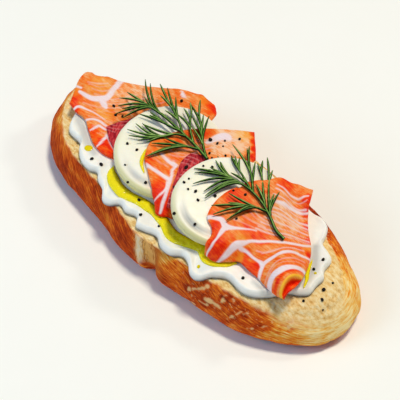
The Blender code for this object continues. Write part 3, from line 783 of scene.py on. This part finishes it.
def crust_tone(x, y, z, far_band):
    """How golden the crust is: palest at the blunt end, dark at the pointed end and near the ground."""
    pale_end = ramp(x + 0.25 * y + z, 74, 122)
    tone = 0.35 + 0.1 * ramp(x, 15, 55) + 0.08 * ramp(x, 70, 90) + 0.48 * pale_end
    tone -= 0.22 * ramp(-z, -9, -2) * ramp(x, 60, 85)
    tone += 0.24 * hump(z, 24, 4) * ramp(-x, 45, 75)
    tone += 0.3 * ramp(-y, 10, 25) * ramp(x, 13, 18) * ramp(-x, -36, -18) * ramp(z, 9, 24)
    tone -= 0.12 * ramp(-z, -6, 0) + 0.05 * ramp(-x, 35, 70)
    tone -= 0.3 * far_band * (1 - 0.6 * ramp(x, 66, 76))
    return tone


def blisters(grid):
    """Where the crust is blistered, and the darker edge round each blister."""
    x, y, z = np.moveaxis(grid, -1, 0)
    blister = np.zeros(x.shape)
    edges = np.zeros(x.shape)
    for x_from, z_from, x_to, z_to, half in BLISTERS:
        span = np.array([x_to - x_from, z_to - z_from])
        away = np.stack([x - x_from, z - z_from], axis=-1)
        share = np.clip(away @ span / (span @ span), 0, 1)
        gap = np.linalg.norm(away - share[..., None] * span, axis=-1) - half
        blister = np.maximum(blister, ramp(0.9 * noise(grid, 1.3) - gap, 0.0, 0.7) * (y < 0))
        edges += hump(gap, 1.0, 1.0) * (y < 0)
    return blister, edges


def crust_grain(x, down):
    """Places round the loaf and down a slant, so that the crust's streaks lean as they run round it."""
    around = np.linspace(0, math.tau, LOAF_AROUND, endpoint=False)
    slant = down - 0.5 * x + 0.00175 * x**2
    return np.dstack([9.5 * np.cos(around) + 0 * x, 9.5 * np.sin(around) + 0 * x, slant]) * MM


def build_bread(finish):
    """Half a loaf with a wrinkled, blistered crust, a torn patch and an open crumb."""
    grid, down = loaf_rings()
    crust = ramp(down, 2.2, 4.0)
    across, tear = torn_patch(grid, crust)
    relief = loaf_relief(grid, crust, across, tear)
    grid = grid + surface_normals(grid, closed=True) * relief[..., None]
    grid[..., 2] = np.maximum(grid[..., 2], 0)
    x, y, z = np.moveaxis(grid, -1, 0)
    far_band = ramp(y, 5, 20) * ramp(x, 30, 45)
    blister, edges = blisters(grid)
    soft = 1.2 + 9 * ramp(x, 62, 92)
    rim = ramp(down + 0.8 * noise(grid, 3.5) + 3.5 * far_band, 2.4, 2.5 + soft * (1 - far_band))
    marks = {
        "tone": crust_tone(x, y, z, far_band) - 0.12 * edges,
        "flour": ramp(x, 15, 45) * ramp(z, 2, 8),
        "baked": rim,
        "torn": tear * ramp(z + 4 * noise(grid, 4), 7, 15),
        "across": across,
        "blister": blister,
    }
    marks = {mark: values.ravel() for mark, values in marks.items()}
    marks["grain"] = crust_grain(x, down).reshape(-1, 3)
    corners, faces = closed_rings(grid)
    add_piece("bread_crust_and_crumb", corners, faces, finish, "bread", marks)
    lay(corners, faces)


def build_cream(finish):
    """Soft cheese: lobes with rounded edges that hang over the rim, and shallow knife marks."""
    edge = smooth_curve(SPREAD_NEAR + SPREAD_END + SPREAD_FAR, even(SPREAD_AROUND, closed=True), closed=True)
    profile = smooth_curve(SPREAD_RINGS, even(SPREAD_STEPS))
    lowest = LOAF_HEIGHT - SPREAD_DROOP
    rim_floor = np.full(SPREAD_AROUND, lowest)
    for turn in np.linspace(0, math.tau, 8, endpoint=False):
        reach = np.array([math.cos(turn), math.sin(turn)]) * SPREAD_REACH
        rim_floor = np.maximum(rim_floor, heights_below(edge + reach, lowest))
    rim_floor = rounded_average(rim_floor, 5)
    rings = []
    for drawn_in, share, ridge in profile:
        ring = spread_out(edge, -drawn_in, SPREAD_SPINE)
        settled = ramp(drawn_in, 2, 8)
        base = (1 - settled) * rim_floor + settled * LOAF_HEIGHT
        rings.append(with_height(ring, base + share * SPREAD_HEIGHT + ridge * SPREAD_RIDGE))
    last = rings[-1]
    foot = np.column_stack([np.clip(last[:, 0], -SPREAD_SPINE, SPREAD_SPINE), last[:, 1] * 0, last[:, 2]])
    for share in np.linspace(0, 0.9, SPREAD_INNER)[1:]:
        rings.append(last + (foot - last) * share)
    grid = np.array(rings)
    normals = surface_normals(grid, closed=True)
    row = np.arange(len(rings))[:, None]
    top = ramp(row, 8, 16)
    waves = 0.45 * noise(grid, 9) + 0.25 * noise(grid, 4)
    strokes = 0.22 * noise(grid @ np.diag([0.3, 1.0, 1.0]), 2.6)
    grid = grid + normals * (0.3 * noise(grid, 5) * (1 - top) + top * (waves + strokes))[..., None]
    corners, faces = closed_rings(grid)
    rows = len(grid)
    shares = np.concatenate([profile[:, 1], np.ones(rows - len(profile))])
    # Painted shade low on the rounded edges, weaker on the far side.
    under = (1 - ramp(shares, -0.1, 0.8)) * (np.arange(rows) < 24)
    shade = under[:, None] * (1 - 0.6 * ramp(grid[..., 1], 5, 25))
    # Painted shadow of the fish along these lines.
    for line in SHADED_EDGES:
        shade = np.maximum(shade, 0.42 * (1 - ramp(line_gap(grid[..., :2], line), -1.0, 2.0)))
    add_piece("cream_spread", corners, faces, finish, "cream", {"shade": shade.ravel()})
    lay(corners, faces)


def oil_line(points, height, climb=5.0):
    """A rounded line of oil on what is below, with painted shade that darkens its left side; it rises no
    more than the climb.
    """
    line = smooth_curve(points, even(OIL_STEPS))
    ahead = np.gradient(line[:, :2], axis=0)
    ahead /= np.linalg.norm(ahead, axis=1, keepdims=True)
    across = np.column_stack([-ahead[:, 1], ahead[:, 0]])
    half = line[:, 2:3] * (1 - 0.95 * np.abs(np.linspace(-1, 1, OIL_STEPS)[:, None]) ** 14)
    half = half * (1 + 0.12 * noise(with_height(line[:, :2], 0), 6)[:, None])
    floor = heights_below(line[:, :2])
    floor = rounded_average(np.minimum(floor, floor.min() + climb), 6)
    sides = np.linspace(-1, 1, OIL_ACROSS)
    over = []
    tone_and_painted_shade = []
    for side in sides:
        plan = line[:, :2] + across * half * side
        ripple = 0.25 * height * noise(with_height(plan, 0), 2.5) * (1 - side**4)
        rise = height * (1 - side**4) ** 0.5 + ripple
        ground = np.minimum(heights_below(plan, LOAF_HEIGHT), floor + 1)
        over.append(with_height(plan, 0.65 * floor + 0.35 * ground + 0.15 + rise))
        # Painted shade: darker towards the left side, next to the cheese.
        tone_and_painted_shade.append(np.full(OIL_STEPS, 0.9 * ramp(side, 0.1, 1.0)))
    for side in sides[1:-1][::-1]:
        plan = line[:, :2] + across * half * side
        over.append(with_height(plan, floor - 0.8))
        tone_and_painted_shade.append(np.full(OIL_STEPS, 0.5))
    grid = np.array(over)
    rows, columns = grid.shape[:2]
    faces = grid_faces(rows + 1, columns)
    faces = [[index % (rows * columns) for index in face] for face in faces]
    faces += [[r * columns for r in range(rows)], [r * columns + columns - 1 for r in range(rows)][::-1]]
    return grid.reshape(-1, 3), faces, np.ravel(tone_and_painted_shade)


def build_oil(finish):
    """The pool of oil on the near side."""
    corners, faces, tone_and_painted_shade = oil_line(OIL_LINE, OIL_HEIGHT)
    add_piece("oil_pool", corners, faces, finish, "oil", {"tone_and_painted_shade": tone_and_painted_shade})
    lay(corners, faces)


def build_streaks(finish):
    """Thin streaks of oil on the mozzarella and beside the salmon."""
    parts = [oil_line(points, STREAK_HEIGHT, STREAK_CLIMB) for points in OIL_STREAKS]
    corners, faces, tone_and_painted_shade = joined(parts)
    add_piece("oil_streaks", corners, faces, finish, marks={"tone_and_painted_shade": 0.5 * tone_and_painted_shade})


def coons(edges, rows, columns):
    """A grid of plan points that fills the space between four edges, closer together near them."""
    t_shares, s_shares = crowded(rows), crowded(columns)
    near = smooth_curve(edges["near"], s_shares)[None, :, :]
    far = smooth_curve(edges["far"], s_shares)[None, :, :]
    left = smooth_curve(edges["left"], t_shares)[:, None, :]
    right = smooth_curve(edges["right"], t_shares)[:, None, :]
    t = t_shares[:, None, None]
    s = s_shares[None, :, None]
    corners = (1 - s) * ((1 - t) * near[:, :1] + t * far[:, :1])
    corners = corners + s * ((1 - t) * near[:, -1:] + t * far[:, -1:])
    return (1 - t) * near + t * far + (1 - s) * left + s * right - corners


def widen(grid):
    """Each value of a grid raised to the highest of itself and its eight neighbours."""
    padded = np.pad(grid, 1, mode="edge")
    rows, columns = grid.shape
    around = [padded[i:i + rows, j:j + columns] for i in range(3) for j in range(3)]
    return np.maximum.reduce(around)


def soften(grid):
    """Each value of a grid replaced by the mean of its four neighbours, straight past the edges."""
    padded = np.pad(grid, 1, mode="reflect", reflect_type="odd")
    return (padded[2:, 1:-1] + padded[:-2, 1:-1] + padded[1:-1, 2:] + padded[1:-1, :-2]) / 4


def drape(plan, hold, passes):
    """Heights of a sheet that lies on the pieces below, or is held above them, and spans hollows."""
    floor = heights_below(plan, LOAF_HEIGHT - 4)
    for _ in range(3):
        floor = widen(floor)
    floor = np.maximum(floor + TOUCH, hold(plan[..., 0], plan[..., 1]))
    height = floor
    for _ in range(passes):
        height = np.maximum(floor, soften(height))
    for _ in range(4):
        height = soften(height)
    return height


def edge_distance(plan):
    """How far each point of a grid is from the grid's own outline."""
    outline = np.concatenate([plan[0], plan[-1], plan[:, 0], plan[:, -1]])
    flat = plan.reshape(-1, 2)
    gaps = [np.min(np.linalg.norm(outline - point, axis=1)) for point in flat]
    return np.reshape(gaps, plan.shape[:-1])


def line_gap(plan, line):
    """How far each place is outside a line of varying half-width."""
    fine = smooth_curve(line, even(90))
    flat = plan.reshape(-1, 1, 2)
    gaps = np.linalg.norm(flat - fine[None, :, :2], axis=2) - fine[None, :, 2]
    return gaps.min(axis=1).reshape(plan.shape[:-1])


def fat_lines(name, plan):
    """Where a salmon slice is fat, and how near each place is to fat."""
    lines = [(line, 1.0) for line in FAT[name]]
    if name == "salmon_3":
        ahead, right = np.array(TIP_AHEAD), np.array([-TIP_AHEAD[1], TIP_AHEAD[0]])
        band = [(*(np.array(TIP) + aside * right - back * ahead), half) for aside, back, half in TIP_BAND]
        lines.append((band, 1.0))
    for first, last, count, half, strength in FINE_FAT[name]:
        for k in range(count):
            share = (k + 0.3 * math.sin(5 * k)) / (count - 1)
            points = np.array(first) * (1 - share) + np.array(last) * share
            line = [(x, y, half * (0.6 + 0.4 * math.sin(3 * k + i))) for i, (x, y) in enumerate(points)]
            lines.append((line, strength))
    places = with_height(plan, 0)
    shift = np.dstack([noise(places, 4.5), noise(places + 40, 4.5)])
    waved = plan + 0.5 * shift
    fat = np.zeros(plan.shape[:2])
    close = np.zeros(plan.shape[:2])
    for line, strength in lines:
        gap = line_gap(waved, line)
        fat = np.maximum(fat, strength * np.clip(0.6 - gap / 0.5, 0, 1))
        close = np.maximum(close, strength * np.clip(1 - gap / 2.2, 0, 1))
    return fat, close


def soft_patch(plan, x, y, radius):
    """1 in the middle of a soft round patch and 0 outside it."""
    away = np.hypot(plan[..., 0] - x, plan[..., 1] - y)
    return 1 - ramp(away, 0.35 * radius, 1.25 * radius)


def flesh_depth(name, plan):
    """How deep the orange of a salmon slice is at each place."""
    own, patches = DEPTH[name]
    depth = np.full(plan.shape[:2], own)
    for x, y, radius, change in patches:
        depth += change * soft_patch(plan, x, y, radius)
    return np.clip(depth, 0.02, 0.98)


def open_mouth(plan, over, under, marks, mouth):
    """Sink both sides of a slice into its mouth, which has a golden lip of painted highlight and a darker
    orange throat of painted shade.
    """
    inward, clear = mouth(plan)
    sink = MOUTH_DEPTH * ramp(inward, -0.1, 0.7) * clear
    ground = heights_below(plan, LOAF_HEIGHT) + TOUCH
    under[..., 2] = np.maximum(under[..., 2] - sink, np.minimum(ground, under[..., 2]))
    over[..., 2] = np.maximum(over[..., 2] - sink, under[..., 2] + MOUTH_THICK)
    # Painted shade in the throat, and a painted highlight of gold along the lip.
    painted_throat_shade = (1 - 0.35 * ramp(inward, 1.5, 3)) * ramp(inward, 0, 0.4)
    marks["gold"] = np.maximum(marks["gold"], ramp(-np.abs(inward + 0.3), -0.65, -0.2))
    marks["depth"] = np.maximum.reduce([marks["depth"], painted_throat_shade, 0.85 * hump(inward, -2.6, 1.4)])
    marks["fat"] = marks["fat"] * (inward < 0)


def shell_faces(rows, columns):
    """The faces of two grids, one over the other, joined round their outlines."""
    count = rows * columns
    index = np.arange(count).reshape(rows, columns)
    outline = np.concatenate([index[0], index[1:, -1], index[-1, -2::-1], index[-2:0:-1, 0]])
    following = np.roll(outline, -1)
    sides = np.stack([outline, following, following + count, outline + count], axis=1).tolist()
    return grid_faces(rows, columns) + grid_faces(rows, columns, start=count) + sides


def build_sheet(name, edges, thick, size, hold, passes, finish, looks, mouth=None):
    """A slice of fish: a draped sheet with rounded edges; looks gives its relief and its marks."""
    rows, columns = size
    plan = coons(edges, rows, columns)
    height = drape(plan, hold, passes)
    under = with_height(plan, height)
    normals = surface_normals(under)
    gap = edge_distance(plan)
    roll = 0.62 * thick
    full = np.sqrt(1 - (1 - np.clip(gap / roll, 0, 1)) ** 2)
    relief, marks = looks(plan)
    uneven = 0.22 * noise(under, 7) + 0.08 * noise(under, 2.5)
    upper = thick * (0.42 + 0.58 * full) + full * (relief + uneven)
    lower = thick * 0.30 * (1 - full)
    over = under + normals * upper[..., None]
    under = under + normals * lower[..., None]
    if mouth:
        open_mouth(plan, over, under, marks, mouth)
    faces = shell_faces(rows, columns)
    corners = np.concatenate([over.reshape(-1, 3), under.reshape(-1, 3)])
    marks = {mark: np.tile(values.ravel(), 2) for mark, values in marks.items()}
    add_piece(name + "_slice", corners, faces, finish, name, marks)
    lay(corners, faces)


def salmon_looks(name):
    """Relief and marks of a salmon slice: the flesh swells a little between the lines of fat."""
    def looks(plan):
        fat, close = fat_lines(name, plan)
        relief = -0.3 * close + 0.12 * fat
        gold = np.zeros(plan.shape[:2])
        for x, y, radius, share in GOLD[name]:
            gold = np.maximum(gold, share * soft_patch(plan, x, y, radius))
        return relief, {"fat": fat, "depth": flesh_depth(name, plan), "gold": gold}
    return looks


def cured_looks(plan):
    """Relief and marks of a cured slice: fine pale lines that run along it."""
    places = with_height(plan, 0)
    bend = plan[..., 0] * 0.55 - plan[..., 1] * 0.85 + 1.2 * noise(places, 6)
    lines = ramp(np.sin(bend * 2.6), 0.72, 0.97) * ramp(noise(places, 4), -0.6, 0.1)
    return 0.1 * lines, {"fat": 0.7 * lines}


def build_salmon(name, edges, size, hold, finish, mouth=None):
    """A slice of salmon, held up where it stands clear; a mouth is the opening of a rolled tip."""
    looks = salmon_looks(name)
    build_sheet(name, edges, SALMON_THICK, size, hold, SALMON_PASSES, finish, looks, mouth)


def build_cured(name, edges, size, finish):
    """A slice of cured fish, which just lies on what is below."""
    build_sheet(name, edges, CURED_THICK, size, lie_flat, CURED_PASSES, finish, cured_looks)


def build_cheese(name, finish):
    """A thick oval slice with a rounded rim, a slight dish and a shallow crease, tilted as it lies."""
    place = CHEESE_SLICES[name]
    rim_outs = np.sqrt(np.cos(np.linspace(math.acos(0.9**2), 0.02, 22)[1:]))
    outs = np.concatenate([np.linspace(0.03, 0.9, 34), rim_outs])
    angles = np.linspace(0, math.tau, CHEESE_AROUND, endpoint=False)
    size = np.array(place["size"]) / 2
    crease_at, crease_half = place["crease"]
    turned = (np.degrees(angles) + place["turn"] - crease_at + 180) % 360 - 180
    lower = hump(turned, 0, 75)
    rings = []
    crease_shades = []
    rim_shades = []
    for out, side in [(o, 1) for o in outs] + [(o, -1) for o in outs[::-1]]:
        rise = side * max(1 - out**4, 0) ** (CHEESE_SQUARENESS / 2)
        ring = np.column_stack([out * size[0] * np.cos(angles), out * size[1] * np.sin(angles)])
        across = hump(out, CREASE_OUT, 0.055) * (side > 0)
        crease = across * hump(turned, 0, crease_half)
        dish = (CHEESE_DISH * (1 - out**2) + CREASE_DEPTH * crease) if side > 0 else 0
        rings.append(with_height(ring, rise * size[2] - dish))
        # Painted shade in the crease, and on the lower rim and the underside.
        crease_shades.append(place["crease_shade_share"] * crease * ramp(-turned, -crease_half, crease_half))
        rim_shades.append(lower * (ramp(out, 0.88, 0.97) if side > 0 else 1))
    grid = np.array(rings)
    turn = Matrix.Rotation(math.radians(place["turn"]), 3, "Z")
    fall = math.radians(place["fall"])
    tilt = Matrix.Rotation(math.radians(place["slope"]), 3, Vector((-math.sin(fall), math.cos(fall), 0)))
    grid = grid @ np.array(tilt @ turn).T
    normals = surface_normals(grid, closed=True)
    grid = grid - normals * (0.22 * noise(grid, 10) + 0.07 * noise(grid, 3.5))[..., None]
    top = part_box(name)[1].z / MM
    grid += np.array([*place["middle"], 0])
    grid[..., 2] += top - grid[..., 2].max()
    corners, faces = closed_rings(grid)
    marks = {"crease": np.ravel(crease_shades), "rim": np.ravel(rim_shades)}
    add_piece(name + "_slice", corners, faces, finish, name, marks)
    lay(corners, faces)


def hold_1(x, y):
    """The first salmon slice stands off the loaf at its pointed end; its far corner stands out level."""
    pointed = POINTED_HOLD + POINTED_RISE * ramp(y, -10, 5)
    return (x < -79) * pointed + CORNER_HOLD * (x > -60) * (y > 33)


def hold_2(x, y):
    """The second slice stands out level past the cheese at its far end."""
    return SALMON_2_HOLD * (y > 23) + 0 * x


def from_tip(x, y):
    """Places beside the rolled tip of the third slice: sideways to the right of it, and back from it."""
    ahead_x, ahead_y = TIP_AHEAD
    away_x, away_y = x - TIP[0], y - TIP[1]
    return -ahead_y * away_x + ahead_x * away_y, -ahead_x * away_x - ahead_y * away_y


def hold_3(x, y):
    """The third slice is rolled up along a line that runs out to its tip; its far corner is level."""
    aside, back = from_tip(x, y)
    rise = TIP_HEIGHT * np.sqrt(1 - (1 - np.clip(back / 11, 0, 1)) ** 2) * (1 - ramp(back, 20, 28))
    half = 1.2 + 0.6 * np.clip(back, 0, 10)
    round_top = np.clip(1 - np.abs((aside - 0.5) / half) ** 2.4, 0, 1) ** 0.6
    return np.maximum(ROLL_HOLD + rise * round_top, SALMON_3_HOLD * (y > 29))


def mouth_3(plan):
    """How far each place of the third slice sinks into the open mouth of its rolled tip."""
    aside, back = from_tip(plan[..., 0], plan[..., 1])
    lip = smooth_curve(TIP_LIP, even(120))
    places = np.dstack([aside, back])
    gap = np.min(np.linalg.norm(places[:, :, None] - lip[None, None], axis=3), axis=2)
    inside = aside > np.interp(back, lip[:, 1], lip[:, 0], right=1000)
    return np.where(inside, gap, -gap), ramp(edge_distance(plan), 0.5, 1.3)


def lie_flat(x, y):
    """A slice that just lies on what is below."""
    return 0 * x * y


def tube(points, radii, sides):
    """Corners and faces of a closed tube along points in space, with a radius at each."""
    ahead = np.gradient(points, axis=0)
    ahead /= np.linalg.norm(ahead, axis=1, keepdims=True)
    aside = np.cross(ahead, (0, 0, 1.0))
    aside /= np.maximum(np.linalg.norm(aside, axis=1, keepdims=True), 1e-9)
    above = np.cross(aside, ahead)
    turns = np.linspace(0, math.tau, sides, endpoint=False)
    ring = np.cos(turns)[None, :, None] * aside[:, None] + np.sin(turns)[None, :, None] * above[:, None]
    return closed_rings(points[:, None] + ring * np.reshape(radii, (-1, 1, 1)))


def joined(parts):
    """Several meshes as one: corners, faces and a tone for each corner."""
    corners, faces, tones = [], [], []
    count = 0
    for more_corners, more_faces, tone in parts:
        corners.append(more_corners)
        faces += [[index + count for index in face] for face in more_faces]
        tones.append(np.zeros(len(more_corners)) + tone)
        count += len(more_corners)
    return np.concatenate(corners), faces, np.concatenate(tones)


def build_sprig(name, finish, random):
    """A sprig of dill: stems that taper, and blunt leaflets that leave them at a slant."""
    parts = []
    for number, (points, droop, leaflets) in enumerate(SPRIGS[name]):
        stem = smooth_curve(points, even(STEM_STEPS))
        width = STEM_RADIUS * (1 - 0.45 * even(STEM_STEPS)) * (0.8 if number else 1.0)
        parts.append(tube_with_painted_highlight(stem, width, 0.08))
        for x, y, root_share in leaflets:
            start = min(int((STEM_STEPS - 1) * root_share), STEM_STEPS - 3)
            root = stem[start]
            resting = max(height_below(x, y) + LEAFLET_LIE, root[2] - droop)
            tip = np.array([x, y, min(resting, LEAFLET_TOP)])
            ahead = stem[start + 1] - stem[start - 1 if start else 0]
            ahead /= np.linalg.norm(ahead)
            length = np.linalg.norm(tip - root)
            bend = root + ahead * length * 0.35
            along = even(LEAFLET_SEGMENTS)
            t = along[:, None]
            path = (1 - t) ** 2 * root + 2 * t * (1 - t) * bend + t**2 * tip
            taper = LEAFLET_RADIUS * (0.7 + 0.35 * hump(along, 0.6, 0.4) - 0.55 * along**6)
            parts.append(tube_with_painted_highlight(path, taper, 0.2 * random.random()))
    corners, faces, tones = joined(parts)
    add_piece(name + "_sprig", corners, faces, finish, marks={"tone": tones})


def tube_with_painted_highlight(points, radii, tone):
    """A tube with a painted highlight, lighter along its top."""
    sides = 12
    corners, faces = tube(points, radii, sides)
    above = np.sin(np.linspace(0, math.tau, sides, endpoint=False))
    # Painted highlight along the top of the tube.
    painted_highlight = 0.55 * ramp(above, 0.8, 1.0)
    return corners, faces, tone + np.tile(painted_highlight, len(points))


def rough_grain(centre, across, random):
    """One cracked grain: a small ball with uneven sides."""
    shape = bmesh.new()
    bmesh.ops.create_icosphere(shape, subdivisions=2, radius=across / 2)
    stretch = 0.75 + 0.5 * random.random(3)
    cuts = [(np.array(random.normal(size=3)), 0.3 + 0.4 * random.random()) for _ in range(7)]
    corners = []
    for vertex in shape.verts:
        place = np.array(vertex.co) * stretch
        for direction, limit in cuts:
            direction = direction / np.linalg.norm(direction)
            over = place @ direction - limit * across
            if over > 0:
                place = place - direction * over
        corners.append(place + centre)
    faces = [[vertex.index for vertex in face.verts] for face in shape.faces]
    shape.free()
    return np.array(corners), faces


def build_pepper(finish, random):
    """Cracked black pepper, dropped on whatever lies below each place."""
    parts = []
    for across, places in PEPPER.items():
        for x, y in places:
            z = height_below(x, y) + 0.25 * across
            parts.append((*rough_grain((x, y, z), across, random), 0.0))
    corners, faces, _ = joined(parts)
    piece = add_piece("pepper_grains", corners, faces, finish)
    piece.data.shade_flat()


def build_drops(finish):
    """A few drops of oil on the soft cheese."""
    parts = []
    angles = np.linspace(0, math.tau, DROP_AROUND, endpoint=False)
    circle = np.column_stack([np.cos(angles), np.sin(angles)])
    for x, y, radius in OIL_DROPS:
        rings = []
        for out in (1.0, 0.97, 0.88, 0.7, 0.45, 0.15):
            plan = (x, y) + out * radius * circle
            rise = DROP_HEIGHT * math.sqrt(1 - out**2) + 0.03
            rings.append(with_height(plan, heights_below(plan) + rise))
        low = rings[0] - (0, 0, DROP_SINK)
        parts.append((*closed_rings(np.array([low] + rings)), 0.4))
    corners, faces, tone_and_painted_shade = joined(parts)
    add_piece("oil_drops", corners, faces, finish, marks={"tone_and_painted_shade": tone_and_painted_shade})


# ---------------------------------------------------------------- the stage


def aim(name, data, place, ahead):
    """A light or camera at a place, pointed ahead."""
    thing = bpy.data.objects.new(name, data)
    thing.location = Vector(place) * MM
    thing.rotation_euler = ahead.to_track_quat("-Z", "Y").to_euler()
    bpy.context.scene.collection.objects.link(thing)
    return thing


def build_floor():
    """A plain pale floor."""
    bpy.ops.mesh.primitive_plane_add(size=8.0, location=(0, 0, 0))
    floor = bpy.context.object
    floor.name = "floor"
    make = Finish("floor", Roughness=0.9, Specular_IOR_Level=0.1)
    make.colour(make.ramp(make.noise(40), (0.0, (247, 246, 237)), (1.0, (249, 248, 240))))
    floor.data.materials.append(make.material)


def build_lights():
    """Soft light from above and behind, a small window and a blue fill from the near side."""
    sun = bpy.data.lights.new("key", "SUN")
    sun.energy = 2.12
    sun.angle = math.radians(11)
    sun.color = (1.0, 0.93, 0.78)
    aim("key", sun, (0, 0, 0), Vector((-0.08, -0.2, -1.0)))
    for name, place, energy, size, tint in (
        ("window", (250, 520, 620), 0.9, 0.1, (1.0, 0.97, 0.93)),
        ("fill", (-450, -950, 750), 6.5, 0.7, (0.56, 0.74, 1.0)),
    ):
        light = bpy.data.lights.new(name, "AREA")
        light.energy = energy
        light.size = size
        light.color = tint
        aim(name, light, place, -Vector(place))


def build_backdrop():
    """A faint blue light from all round, seen by the camera as a pale backdrop."""
    world = bpy.data.worlds.new("studio")
    world.use_nodes = True
    tree = world.node_tree
    light = tree.nodes["Background"]
    light.inputs["Color"].default_value = (0.62, 0.74, 1.0, 1)
    light.inputs["Strength"].default_value = 0.22
    backdrop = tree.nodes.new("ShaderNodeBackground")
    backdrop.inputs["Color"].default_value = screen(247, 246, 238)
    path = tree.nodes.new("ShaderNodeLightPath")
    mixer = tree.nodes.new("ShaderNodeMixShader")
    tree.links.new(path.outputs["Is Camera Ray"], mixer.inputs[0])
    tree.links.new(light.outputs[0], mixer.inputs[1])
    tree.links.new(backdrop.outputs[0], mixer.inputs[2])
    tree.links.new(mixer.outputs[0], tree.nodes["World Output"].inputs["Surface"])
    bpy.context.scene.world = world


def build_camera():
    """The camera, looking down along the loaf from beyond its near side."""
    camera = bpy.data.cameras.new("camera")
    camera.lens = CAMERA["lens"]
    camera.clip_start = 0.01
    turn, rise = math.radians(CAMERA["azimuth"]), math.radians(CAMERA["elevation"])
    back = Vector((math.sin(turn) * math.cos(rise), -math.cos(turn) * math.cos(rise), math.sin(rise)))
    place = Vector(CAMERA["target"]) + back * CAMERA["distance"]
    bpy.context.scene.camera = aim("camera", camera, place, -back)
    bpy.context.scene.view_settings.view_transform = "Standard"


# ---------------------------------------------------------------- the sandwich, in the order it is laid

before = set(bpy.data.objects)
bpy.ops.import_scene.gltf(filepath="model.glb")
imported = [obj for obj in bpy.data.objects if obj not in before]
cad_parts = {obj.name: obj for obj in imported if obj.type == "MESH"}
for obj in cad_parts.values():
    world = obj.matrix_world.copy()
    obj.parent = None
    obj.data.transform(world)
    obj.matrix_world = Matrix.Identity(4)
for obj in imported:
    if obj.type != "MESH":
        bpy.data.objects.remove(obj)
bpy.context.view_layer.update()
build_floor()
build_lights()
build_backdrop()
build_camera()

salmon = salmon_finish()
cured = cured_finish()
mozzarella = mozzarella_finish()
oil = oil_finish()

build_bread(bread_finish())
build_cream(cream_finish())
build_oil(oil)
build_salmon("salmon_1", SALMON_1, (110, 130), hold_1, salmon)
build_cured("cured_1", CURED_1, (60, 44), cured)
build_cheese("mozzarella_1", mozzarella)
build_salmon("salmon_2", SALMON_2, (140, 80), hold_2, salmon)
build_cured("cured_2", CURED_2, (74, 34), cured)
build_cheese("mozzarella_2", mozzarella)
build_salmon("salmon_3", SALMON_3, (160, 170), hold_3, salmon, mouth_3)

scatter = np.random.default_rng(5)
dill = dill_finish()
for sprig in SPRIGS:
    build_sprig(sprig, dill, scatter)
build_pepper(pepper_finish(), scatter)
build_drops(oil)
build_streaks(oil)

bpy.context.view_layer.update()
